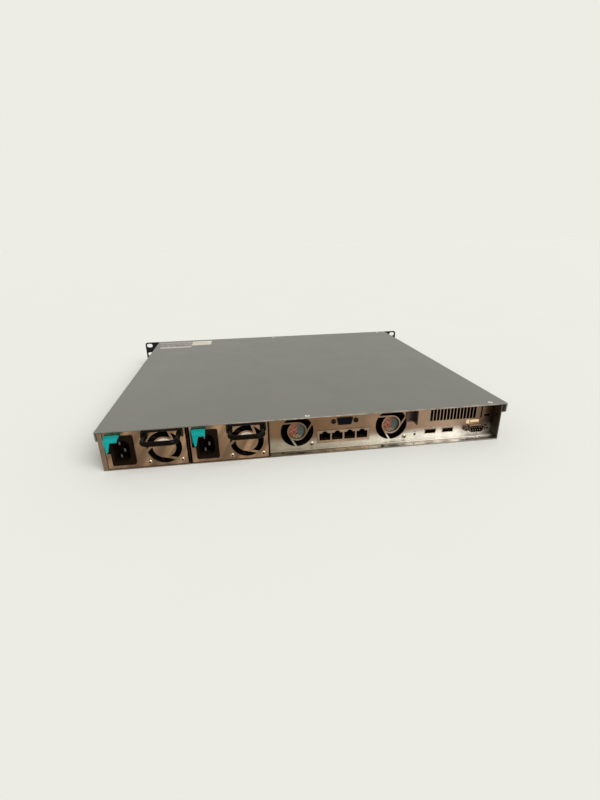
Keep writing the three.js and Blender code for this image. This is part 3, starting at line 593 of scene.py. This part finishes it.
def dress_frame():
    for node in ("bay_partition", "bay_divider"):
        dress(node, "shaded_steel", 0.25 * MM)
    dress("drive_bracket", "zinc_steel", 0.25 * MM)
    dress("chassis_tray", "tray", 0.25 * MM)
    dress("support_bracket", "bracket_shade_steel", 0.25 * MM)
    dress("rear_panel", "panel", 0.2 * MM, 50)
    dress("top_cover", "grey_paint", 0.45 * MM, segments=3)
    for node in ("front_panel", "rack_ear_left", "rack_ear_right"):
        dress(node, "black_paint", 0.3 * MM, 50)
    dress("power_button", "button_black", 0.5 * MM, 50)
    dress("power_switch", "black_plastic", 0.5 * MM)
    dress("status_lens", "green_lens", 0.4 * MM)
    for node in ("front_network_jacks_1", "front_network_jacks_2", "usb_socket_1", "usb_socket_2"):
        dress(node, "port_shield", 0.12 * MM, 45)
    dress("rear_network_jacks", "jack_shield", 0.12 * MM, 45)
    dress("video_port", "shade_dark_shield", 0.12 * MM, 45)
    dress("serial_port", "dark_shield", 0.12 * MM, 45)
    for node in ("motherboard", "memory_module_1", "memory_module_2", "power_backplane", "front_port_board"):
        dress(node, "circuit_board", 0.1 * MM)
    dress("processor_heatsink", "aluminium", 0.1 * MM)
    dress("storage_drive", "aluminium", 0.8 * MM)
    dress("power_harness", "wire_sleeve")
    for number in REAR_FANS:
        dress(f"rear_fan_{number}_frame", "fan_plastic", 0.2 * MM, 50)


def dress_supply(number):
    def name(part):
        return f"power_supply_{number}_{part}"
    dress(name("case"), "case_steel", 0.3 * MM)
    dress(name("faceplate"), f"faceplate_{number}", 0.2 * MM, 50)
    dress(name("mains_inlet"), "black_plastic", 0.35 * MM, 50)
    dress(name("latch"), "teal_plastic", 0.4 * MM, 30, 3)
    dress(name("latch_pin"), "screw_steel", 0.1 * MM, 50)
    dress(name("handle_bracket"), "bracket_black", 0.2 * MM, 50)
    dress(name("board"), "circuit_board", 0.1 * MM)
    dress(name("transformer"), "black_plastic", 1.2 * MM, segments=3)
    dress(name("capacitor"), "black_plastic", 0.8 * MM, 50)
    dress(name("heatsink"), "aluminium", 0.1 * MM)
    dress(name("fan_frame"), "fan_plastic", 0.2 * MM, 50)


# ---------------------------------------------------------------- screws
def pan_head_mesh(name, radius, height, material):
    """A domed screw head with a cross recess, as a fine height field over a disc; the middle of its top is
    painted dark as shade in the recess.
    """
    rings, steps = 12, 48
    slot_half, slot_reach, slot_depth = 0.13 * radius, 0.62 * radius, 0.55 * height

    def level(x, y):
        r = math.hypot(x, y)
        dome = height * math.sqrt(max(0.0, 1 - (r / radius) ** 2 * 0.94))
        recessed = r < slot_reach and min(abs(x), abs(y)) < slot_half
        return dome - (slot_depth if recessed else 0)
    points = [(0, 0, level(0, 0))]
    for ring in range(1, rings + 1):
        r = radius * ring / rings
        for i in range(steps):
            angle = 2 * math.pi * i / steps
            x, y = r * math.cos(angle), r * math.sin(angle)
            points.append((x, y, level(x, y)))
    skirt = len(points)
    for i in range(steps):
        angle = 2 * math.pi * i / steps
        points.append((radius * math.cos(angle), radius * math.sin(angle), 0))
    faces = [(0, 1 + i, 1 + (i + 1) % steps) for i in range(steps)]
    for ring in range(rings - 1):
        a, b = 1 + ring * steps, 1 + (ring + 1) * steps
        faces += [(a + i, b + i, b + (i + 1) % steps, a + (i + 1) % steps) for i in range(steps)]
    edge = 1 + (rings - 1) * steps
    faces += [(edge + i, skirt + i, skirt + (i + 1) % steps, edge + (i + 1) % steps) for i in range(steps)]
    faces.append(tuple(range(skirt, skirt + steps)))
    mesh = smooth(mesh_from(name, points, faces), 50)
    mesh.materials.append(material)
    mesh.materials.append(MATERIALS["recess_shade"])
    # painted shade: top faces near the middle take the dark recess material
    for polygon in mesh.polygons:
        if polygon.normal.z > 0 and polygon.center.xy.length < 0.42 * radius:
            polygon.material_index = 1
    return mesh


def build_screws():
    draw = random.Random(7)
    bright = pan_head_mesh("pan_head", 2.5 * MM, 1.2 * MM, MATERIALS["screw_steel"])
    dark = pan_head_mesh("dark_pan_head", 2.9 * MM, 1.1 * MM, MATERIALS["black_paint"])
    # small heads wholly in the dark recess material: painted shade where screw holes look dark
    small = pan_head_mesh("small_dark_head", 1.5 * MM, 0.6 * MM, MATERIALS["recess_shade"])
    flat = pan_head_mesh("flat_head", 2.6 * MM, 0.45 * MM, MATERIALS["cover_screw"])

    def put(name, mesh, at, facing, body):
        """A head whose underside rests at a point and which faces along an axis."""
        turn = Matrix.Rotation(draw.uniform(0, math.pi), 4, "Z")
        new_object(name, mesh, None, body, Matrix.Translation(at) @ FACING[facing] @ turn)

    for number in REAR_FANS:
        centre = middle(f"rear_fan_{number}_frame")
        for i, side in enumerate((-1, 1)):
            at = (centre.x + side * FAN_SCREW_OFFSET, PANEL_FACE, centre.z + side * FAN_SCREW_OFFSET)
            put(f"rear_fan_{number}_screw_{i + 1}", bright, at, "+y", "chassis")
    for number in SUPPLIES:
        centre = middle(f"power_supply_{number}_fan_rotor")
        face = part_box(f"power_supply_{number}_faceplate")[1].y
        for i, side in enumerate((1, -1)):
            at = (centre.x + side * GUARD_SCREW_OFFSET[0], face, centre.z - GUARD_SCREW_OFFSET[1])
            put(f"power_supply_{number}_fan_screw_{i + 1}", bright, at, "+y", f"power_supply_{number}")
    for i, (x, y) in enumerate([(4, 207.6), (-201, 206), (-201, -202), (4, -202)]):
        put(f"cover_screw_{i + 1}", flat, (x * MM, y * MM, COVER_HIGH.z), "+z", "chassis")
    ear_outside = BODY_HALF_WIDTH + 1.9 * MM
    for label, facing, outside, ear_x in (("left", "-x", COVER_LOW.x, -ear_outside),
                                          ("right", "+x", COVER_HIGH.x, ear_outside)):
        for i, y in enumerate([-120, -20, 90, 180]):
            at = (outside, y * MM, COVER_LOW.z + 5 * MM)
            put(f"cover_side_screw_{label}_{i + 1}", flat, at, facing, "chassis")
        for i, (y, z) in enumerate([(-158, 25), (-158, 11), (-186, 18)]):
            at = (ear_x, y * MM, z * MM)
            put(f"ear_screw_{label}_{i + 1}", dark, at, facing, "chassis")
    for i, x in enumerate([30.4, -80.4]):
        put(f"tray_floor_screw_{i + 1}", small, (x * MM, 205.4 * MM, 1.2 * MM), "+z", "chassis")
    bracket_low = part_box("support_bracket")[0]
    at = (bracket_low.x + 4.5 * MM, bracket_low.y + 0.9 * MM, 26.6 * MM)
    put("bracket_screw", small, at, "+y", "chassis")


# ---------------------------------------------------------------- fans
def blade_mesh(name, hub, tip, depth, count):
    """Curved, twisted blades round the Y axis, each with its own thickness."""
    spans, chords, thickness = 8, 10, 0.5 * MM
    blades = []
    for k in range(count):
        points = []
        for side in (-1, 1):
            for i in range(spans + 1):
                s = i / spans
                r = hub - 0.4 * MM + (tip - hub + 0.4 * MM) * s
                pitch = math.radians(52 - 20 * s)
                for j in range(chords + 1):
                    c = j / chords - 0.5
                    camber = 1.6 * MM * (1 - 4 * c * c)
                    axial = c * depth
                    around = (axial * math.tan(math.pi / 2 - pitch) * 0.75 + camber) / r
                    angle = 2 * math.pi * k / count + around + 0.25 * s
                    half = thickness * side * (1 - 0.8 * abs(2 * c) ** 3)
                    points.append((r * math.sin(angle), axial + half, r * math.cos(angle)))
        row, sheet = chords + 1, (spans + 1) * (chords + 1)
        faces = []
        for i in range(spans):
            for j in range(chords):
                a = i * row + j
                faces.append((a, a + 1, a + row + 1, a + row))
                faces.append((sheet + a, sheet + a + row, sheet + a + row + 1, sheet + a + 1))
        rim = [i * row for i in range(spans + 1)]
        rim += [spans * row + j for j in range(1, row)]
        rim += [i * row + chords for i in range(spans - 1, -1, -1)]
        rim += [j for j in range(chords - 1, 0, -1)]
        for a, b in zip(rim, rim[1:] + rim[:1]):
            faces.append((a, b, sheet + b, sheet + a))
        blades.append(mesh_from(name, points, faces))
    return joined(name, blades)


def build_rotor(node, body):
    """Replaces a CAD rotor with a smooth hub and seven curved blades."""
    low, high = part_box(node)
    centre = middle(node)
    tip = (high.z - low.z) / 2
    hub = tip * 0.54
    length = high.y - low.y
    profile = [(0, -0.5), (0.86, -0.5), (1.0, -0.42), (1.0, 0.42), (0.86, 0.5), (0, 0.5)]
    core = lathe(f"{node}_hub", [(r * hub, h * length) for r, h in profile], 48)
    core.transform(FACING["+y"])
    mesh = joined(f"{node}_look", [core, blade_mesh(f"{node}_blades", hub, tip, length * 0.62, 7)])
    moved(smooth(mesh, 40), centre)
    rotor = new_object(f"{node}_look", mesh, MATERIALS["fan_plastic"], body)
    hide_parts(node)


def sticker_material(name):
    """A plain three-tone fan sticker: copper, dark green and cream patches, with no print."""
    surface = Surface(name, (0.5, 0.2, 0.1), 0.45)
    wobble = surface.noise(260, 4, 0.7)

    def edge(axis, offset, raggedness):
        shifted = surface.node("ShaderNodeMath", operation="MULTIPLY_ADD")
        shifted.inputs[1].default_value = raggedness
        surface.link(wobble, shifted.inputs[0])
        surface.link(surface.distance(axis), shifted.inputs[2])
        return surface.spread(shifted.outputs["Value"], offset, offset + 0.8 * MM)

    copper = surface.ramp(surface.noise(420, 3), [
        (0.42, (0.030, 0.008, 0.005)), (0.50, (0.25, 0.048, 0.017)), (0.62, (0.20, 0.10, 0.06))])
    green = surface.ramp(surface.noise(600, 3), [
        (0.40, (0.010, 0.018, 0.015)), (0.62, (0.055, 0.070, 0.055))])
    cream = surface.ramp(surface.noise(700, 2), [(0.42, (0.035, 0.022, 0.015)), (0.6, (0.25, 0.19, 0.12))])
    upper = surface.mixed(edge("X", 0.0040, 0.0075), copper, green)
    surface.paint(surface.mixed(edge("Y", -0.0022, 0.007), cream, upper))
    return surface.material


def build_sticker(number, material):
    """The round sticker on the back of a rear fan's motor."""
    name, frame_node = f"rear_fan_{number}_sticker", f"rear_fan_{number}_frame"
    centre = middle(frame_node)
    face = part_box(frame_node)[1].y - STICKER_INSET
    thickness = 0.12 * MM
    profile = [(0, 0), (STICKER_RADIUS, 0), (STICKER_RADIUS, thickness * 0.7),
               (STICKER_RADIUS - thickness, thickness), (0, thickness)]
    disc = smooth(lathe(name, profile, 48), 40)
    facing_rear = Matrix.Rotation(math.pi, 4, "Z") @ FACING["-y"]
    place = Matrix.Translation((centre.x, face, centre.z)) @ facing_rear
    new_object(name, disc, material, "chassis", place)


def build_fans():
    material = sticker_material("fan_sticker")
    for number in REAR_FANS:
        build_rotor(f"rear_fan_{number}_rotor", f"rear_fan_{number}_rotor")
        build_sticker(number, material)
    for number in SUPPLIES:
        build_rotor(f"power_supply_{number}_fan_rotor", f"power_supply_{number}_fan")


# ---------------------------------------------------------------- module handles and inlets
def build_handle(number):
    """A smooth round bail with bent corners, eyes and pins, in place of the faceted one."""
    node = f"power_supply_{number}_handle"
    low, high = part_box(node)
    centre_x = (low.x + high.x) / 2
    z = (low.z + high.z) / 2
    radius = 2.55 * MM
    bar_y = high.y - radius
    pivot_y = low.y + 2.8 * MM
    half = 16.2 * MM
    bend = 6.0 * MM
    path = [Vector((centre_x + half, pivot_y + (bar_y - bend - pivot_y) * t / 6, z)) for t in range(6)]
    for i in range(13):
        angle = math.radians(90 * i / 12)
        x = centre_x + half - bend + bend * math.cos(angle)
        path.append(Vector((x, bar_y - bend + bend * math.sin(angle), z)))
    path += [Vector((centre_x + (half - bend) * (1 - t / 4), bar_y, z)) for t in range(1, 5)]
    path += [Vector((2 * centre_x - p.x, p.y, p.z)) for p in reversed(path[:-1])]
    bail = sweep(f"{node}_bail", path, radius, 24)
    ends = []
    for side in (-1, 1):
        for size, start, stop in ((2.8, -2.1, 2.1), (1.1, 0, 4.2)):  # the eye, then its pin
            profile = [(0, start), (size * 0.85, start), (size, start + 0.3),
                       (size, stop - 0.3), (size * 0.85, stop), (0, stop)]
            turned = lathe(f"{node}_eye", [(r * MM, h * MM) for r, h in profile], 32)
            turned.transform(FACING["+x"] if side > 0 else FACING["-x"])
            ends.append(moved(turned, (centre_x + side * half, pivot_y, z)))
    mesh = smooth(joined(f"{node}_look", [bail] + ends), 40)
    handle = new_object(f"{node}_look", mesh, MATERIALS["gloss_black"], node)
    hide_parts(node)


def blade_sleeve(name, x, z, low, high, body):
    """A metal blade over a moulded one: rounded tip, the size of a mains pin stood on edge."""
    thick, wide = 2.12 * MM, 4.12 * MM
    mesh = box_mesh(name, (x - thick / 2, low, z - wide / 2), (x + thick / 2, high, z + wide / 2))
    piece = new_object(name, mesh, MATERIALS["blade_steel"], body)
    soften(piece, 0.5 * MM, 3)


def build_inlet_blades(number):
    body = f"power_supply_{number}"
    node = f"{body}_mains_inlet"
    low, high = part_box(node)
    centre = (low + high) / 2
    mouth = high.y - 1.7 * MM
    for i, (dx, dz, tip) in enumerate([(2.5, 7, 2.4), (2.5, -7, 2.4), (-2.1, 0, 0.9)]):
        x, z = centre.x + dx * MM, centre.z + dz * MM
        blade_sleeve(f"{node}_blade_{i + 1}", x, z, mouth - 14.9 * MM, mouth - tip * MM, body)


def build_edge_contacts(number):
    """Gold fingers along both faces of the module board's tongue."""
    body = f"power_supply_{number}"
    low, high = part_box(f"{body}_board")
    centre = (low.x + high.x) / 2 + 0.5 * MM
    fingers = []
    for face in (low.z - 0.05 * MM, high.z - 0.05 * MM):
        for i in range(22):
            x = centre + (i - 10.5) * 2.2 * MM
            fingers.append(box_mesh("finger", (x - 0.75 * MM, low.y + 0.4 * MM, face),
                                    (x + 0.75 * MM, low.y + 3.6 * MM, face + 0.1 * MM)))
    new_object(f"{body}_edge_contacts", joined(f"{body}_edge_contacts", fingers), MATERIALS["gold_contact"],
               body)


def build_supply_details(number):
    build_handle(number)
    build_inlet_blades(number)
    build_edge_contacts(number)


# ---------------------------------------------------------------- sockets
def jack_outline(cx, bottom, inset):
    """The stepped mouth of a modular jack, as (x, z) pairs."""
    half = [width * MM - inset for width in (6.1, 3.1, 1.9)]
    level = [bottom + inset] + [bottom + rise * MM - inset for rise in (8.3, 9.5, 10.6)]
    right = [(half[i], level[i + k]) for i in range(3) for k in (0, 1)]
    return [(cx + x, z) for x, z in right] + [(cx - x, z) for x, z in reversed(right)]


def build_jacks(node, rear_facing):
    """Black linings and gold contact wires inside each jack of a block."""
    low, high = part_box(node)
    centre_x = (low.x + high.x) / 2
    outward = 1 if rear_facing else -1
    mouth = high.y if rear_facing else low.y
    bottom = low.z + 2.9 * MM
    linings, wires = [], []
    for step in (-1.5, -0.5, 0.5, 1.5):
        x = centre_x + step * JACK_PITCH
        outer, inner = jack_outline(x, bottom, 0.02 * MM), jack_outline(x, bottom, 0.35 * MM)
        depths = (mouth - outward * 0.35 * MM, mouth - outward * 14.5 * MM)
        count = len(outer)
        points = [(u, y, v) for y in depths for ring in (outer, inner) for u, v in ring]
        faces = []
        for i in range(count):
            j = (i + 1) % count
            faces.append((i, j, count + j, count + i))
            faces.append((i, 2 * count + i, 2 * count + j, j))
            faces.append((count + i, count + j, 3 * count + j, 3 * count + i))
            faces.append((2 * count + i, 3 * count + i, 3 * count + j, 2 * count + j))
        lining = mesh_from("lining", points, faces)
        back = box_mesh("back", (x - 5.4 * MM, min(depths[1], depths[1] + outward * MM), bottom + 0.5 * MM),
                        (x + 5.4 * MM, max(depths[1], depths[1] + outward * MM), bottom + 6.4 * MM))
        linings += [lining, back]
        for i in range(8):
            wx = x + (i - 3.5) * 1.02 * MM
            ends = sorted((mouth - outward * 3.2 * MM, mouth - outward * 12 * MM))
            wires.append(box_mesh("wire", (wx - 0.2 * MM, ends[0], bottom + 0.8 * MM),
                                  (wx + 0.2 * MM, ends[1], bottom + 1.15 * MM)))
    lining_mesh = joined(f"{node}_linings", linings)
    new_object(f"{node}_linings", lining_mesh, MATERIALS["black_plastic"], "chassis")
    wire_mesh = joined(f"{node}_contacts", wires)
    new_object(f"{node}_contacts", wire_mesh, MATERIALS["gold_contact"], "chassis")


def d_outline(centre, half_top, half_bottom, half_height, corner=1.2 * MM, steps=6):
    cx, cz = centre
    points = []
    for x, z, start, stop in ((half_top - corner, half_height - corner, 0, 100),
                              (corner - half_top, half_height - corner, 80, 180),
                              (corner - half_bottom, corner - half_height, 180, 270),
                              (half_bottom - corner, corner - half_height, 270, 360)):
        for i in range(steps + 1):
            angle = math.radians(start + (stop - start) * i / steps)
            points.append((cx + x + corner * math.cos(angle), cz + z + corner * math.sin(angle)))
    return points


def build_video_face():
    """The blue-black insert of the video port with its three rows of contact holes."""
    low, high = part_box("video_port")
    centre = ((low.x + high.x) / 2, (low.z + high.z) / 2)
    mouth = PANEL_FACE + 1.2 * MM
    insert = prism("video_port_insert", d_outline(centre, 8.5 * MM, 7.0 * MM, 3.85 * MM),
                   mouth - MM, mouth + 0.2 * MM)
    piece = new_object("video_port_insert", insert, MATERIALS["socket_blue"], "chassis")
    soften(piece, 0.2 * MM)
    holes = []
    for row, z in enumerate((1.98, 0.0, -1.98)):
        for i in range(5):
            x = centre[0] + (i - 2) * 2.29 * MM + (0.57 * MM if row == 1 else 0)
            profile = [(0, 0), (0.5, 0), (0.56, 0.12), (0.4, 0.16), (0.36, 0.02), (0, 0.02)]
            ring = lathe("hole", [(r * MM, h * MM) for r, h in profile], 14)
            ring.transform(FACING["+y"])
            holes.append(moved(ring, (x, mouth + 0.17 * MM, centre[1] + z * MM)))
    new_object("video_port_holes", smooth(joined("video_port_holes", holes)), MATERIALS["fan_plastic"],
               "chassis")


def build_serial_face():
    """The black insulator behind the serial port's nine pins."""
    low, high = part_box("serial_port")
    centre = ((low.x + high.x) / 2, (low.z + high.z) / 2)
    flange = PANEL_FACE - 1.3 * MM
    plate = prism("serial_port_insulator", d_outline(centre, 8.2 * MM, 6.7 * MM, 3.5 * MM),
                  flange - 0.1 * MM, flange + 0.9 * MM)
    new_object("serial_port_insulator", plate, MATERIALS["black_plastic"], "chassis")
    pins = []
    for count, z in ((5, 1.42), (4, -1.42)):
        for i in range(count):
            x = centre[0] + (i - (count - 1) / 2) * 2.77 * MM
            profile = [(0, 0), (0.56, 0), (0.56, 4.6), (0.3, 5.3), (0, 5.35)]
            pin = lathe("pin", [(r * MM, h * MM) for r, h in profile], 16)
            pin.transform(FACING["+y"])
            pins.append(moved(pin, (x, flange, centre[1] + z * MM)))
    new_object("serial_port_pins", smooth(joined("serial_port_pins", pins)), MATERIALS["port_shield"],
               "chassis")


def build_usb_inner(number):
    """The black tongue and lining of a USB socket, and its four contacts."""
    low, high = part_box(f"usb_socket_{number}")
    cx = (low.x + high.x) / 2
    mouth = high.y
    tongue = box_mesh("tongue", (cx - 5.5 * MM, mouth - 12 * MM, high.z - 3.0 * MM),
                      (cx + 5.5 * MM, mouth - 1.1 * MM, high.z - 1.1 * MM))
    floor = box_mesh("floor", (cx - 6.1 * MM, mouth - 11.9 * MM, low.z + 0.52 * MM),
                     (cx + 6.1 * MM, mouth - 0.5 * MM, low.z + 0.62 * MM))
    back = box_mesh("back", (cx - 6.1 * MM, mouth - 11.95 * MM, low.z + 0.6 * MM),
                    (cx + 6.1 * MM, mouth - 11.2 * MM, high.z - 0.6 * MM))
    sides = [box_mesh("side", (cx + s * 6.14 * MM - 0.05 * MM, mouth - 11.9 * MM, low.z + 0.6 * MM),
                      (cx + s * 6.14 * MM + 0.05 * MM, mouth - 0.5 * MM, high.z - 0.6 * MM)) for s in (-1, 1)]
    inner = joined(f"usb_socket_{number}_tongue", [tongue, floor, back] + sides)
    plastic = MATERIALS["black_plastic"]
    piece = new_object(f"usb_socket_{number}_tongue", inner, plastic, "chassis")
    soften(piece, 0.03 * MM)
    centres = [cx + dx * MM for dx in (-3.5, -1, 1, 3.5)]
    strips = [box_mesh("strip", (x - 0.5 * MM, mouth - 10 * MM, high.z - 3.08 * MM),
                       (x + 0.5 * MM, mouth - 1.8 * MM, high.z - 2.95 * MM)) for x in centres]
    new_object(f"usb_socket_{number}_contacts", joined(f"usb_socket_{number}_contacts", strips),
               MATERIALS["gold_contact"], "chassis")


# ---------------------------------------------------------------- label and small marks
def build_label():
    """A worn foil label at the front of the cover, with a brighter strip beside it."""
    foil_low, foil_high = Vector((153, -199, 0)) * MM, Vector((212, -152, 0)) * MM
    foil = printed_label("label_foil", (0.165, 0.145, 0.143), (0.040, 0.028, 0.028), foil_low, foil_high,
                         (0.34, 0.32, 0.29))
    stick_down("cover_label", foil, foil_low, foil_high, 6 * MM, 0.12 * MM, 0.05 * MM)
    strip_low, strip_high = Vector((119, -199, 0)) * MM, Vector((153, -166, 0)) * MM
    paper = printed_label("label_paper", (0.42, 0.385, 0.33), (0.25, 0.21, 0.16), strip_low, strip_high,
                          (0.36, 0.32, 0.26))
    stick_down("cover_label_strip", paper, strip_low, strip_high, 0, 0.1 * MM, 0.04 * MM)


def stick_down(name, material, low, high, slant, thickness, edge):
    """Lays a label on the cover; slant draws in its corner at the rear and +X."""
    top = COVER_HIGH.z
    outline = [(low.x, low.y), (high.x, low.y), (high.x - slant, high.y), (low.x, high.y)]
    mesh = prism(name, outline, top, top + thickness, "xy")
    soften(new_object(name, mesh, material, "chassis"), edge)


def build_marks():
    """Small plain bars that stand for the port markings, printed on the panels."""
    jacks = middle("rear_network_jacks")
    places = [(jacks.x + step * JACK_PITCH, 21.8 * MM, 4.4 * MM) for step in (-1.5, -0.5, 0.5, 1.5)]
    places += [(middle(f"usb_socket_{n}").x, 15.0 * MM, 3.6 * MM) for n in USB_SOCKETS]
    places.append((-120.8 * MM, 10.6 * MM, 4.0 * MM))
    bars = []
    for x, z, width in places:
        bars.append(box_mesh("bar", (x - width / 2, PANEL_FACE - 0.02 * MM, z - 0.3 * MM),
                             (x + width / 2, PANEL_FACE + 0.03 * MM, z + 0.3 * MM)))
    new_object("panel_marks", joined("panel_marks", bars), MATERIALS["mark_ink"], "chassis")
    port = middle("serial_port")
    tags = []
    for left, right, low, high in ((-3.6, 7.2, 17.0, 20.0), (8.0, 11.6, 15.8, 20.4)):
        tags.append(box_mesh("tag", (port.x + left * MM, PANEL_FACE, low * MM),
                             (port.x + right * MM, PANEL_FACE + 0.12 * MM, high * MM)))
    tag_mesh = joined("serial_port_tags", tags)
    new_object("serial_port_tags", tag_mesh, MATERIALS["cream_tag"], "chassis")


# ---------------------------------------------------------------- stage, lights and camera
def build_stage():
    bpy.ops.mesh.primitive_circle_add(vertices=96, radius=FLOOR_RADIUS, fill_type="NGON",
                                      location=(0, 0, -FLOOR_DROP))
    floor = bpy.context.object
    floor.name = "studio_floor"
    surface = Surface("studio_floor", FLOOR_COLOR, 0.85)
    surface.colors(surface.noise(6, 2), [(0.3, shade(FLOOR_COLOR, 0.995)), (0.7, shade(FLOOR_COLOR, 1.005))])
    floor.data.materials.append(surface.material)
    world = bpy.data.worlds.new("studio")
    bpy.context.scene.world = world
    world.use_nodes = True
    background = world.node_tree.nodes["Background"]
    background.inputs["Color"].default_value = (*BACKGROUND, 1)
    background.inputs["Strength"].default_value = 1.0


def build_lights():
    sun = bpy.data.lights.new("soft_key", "SUN")
    sun.energy = SUN_STRENGTH
    sun.angle = math.radians(SUN_WIDTH)
    key = bpy.data.objects.new("soft_key", sun)
    key.rotation_euler = (math.radians(-38), math.radians(-34), 0)
    bpy.context.scene.collection.objects.link(key)


def build_camera():
    data = bpy.data.cameras.new("photo_view")
    data.lens = CAMERA_LENS
    data.sensor_width = 36
    data.shift_y = CAMERA_SHIFT
    data.clip_start = 0.01
    camera = bpy.data.objects.new("photo_view", data)
    toward = Vector(CAMERA_TARGET) - Vector(CAMERA_AT)
    turn = toward.to_track_quat("-Z", "Y").to_matrix().to_4x4()
    roll = Matrix.Rotation(math.radians(CAMERA_ROLL), 4, "Z")
    camera.matrix_world = Matrix.Translation(CAMERA_AT) @ turn @ roll
    bpy.context.scene.collection.objects.link(camera)
    bpy.context.scene.camera = camera


build_camera()
dress_frame()
build_screws()
build_fans()
for supply in SUPPLIES:
    dress_supply(supply)
    build_supply_details(supply)
build_jacks("rear_network_jacks", True)
build_jacks("front_network_jacks_1", False)
build_jacks("front_network_jacks_2", False)
build_video_face()
build_serial_face()
for socket in USB_SOCKETS:
    build_usb_inner(socket)
build_label()
build_marks()
build_stage()
build_lights()
bpy.context.scene.view_settings.view_transform = "Standard"

bpy.context.view_layer.update()
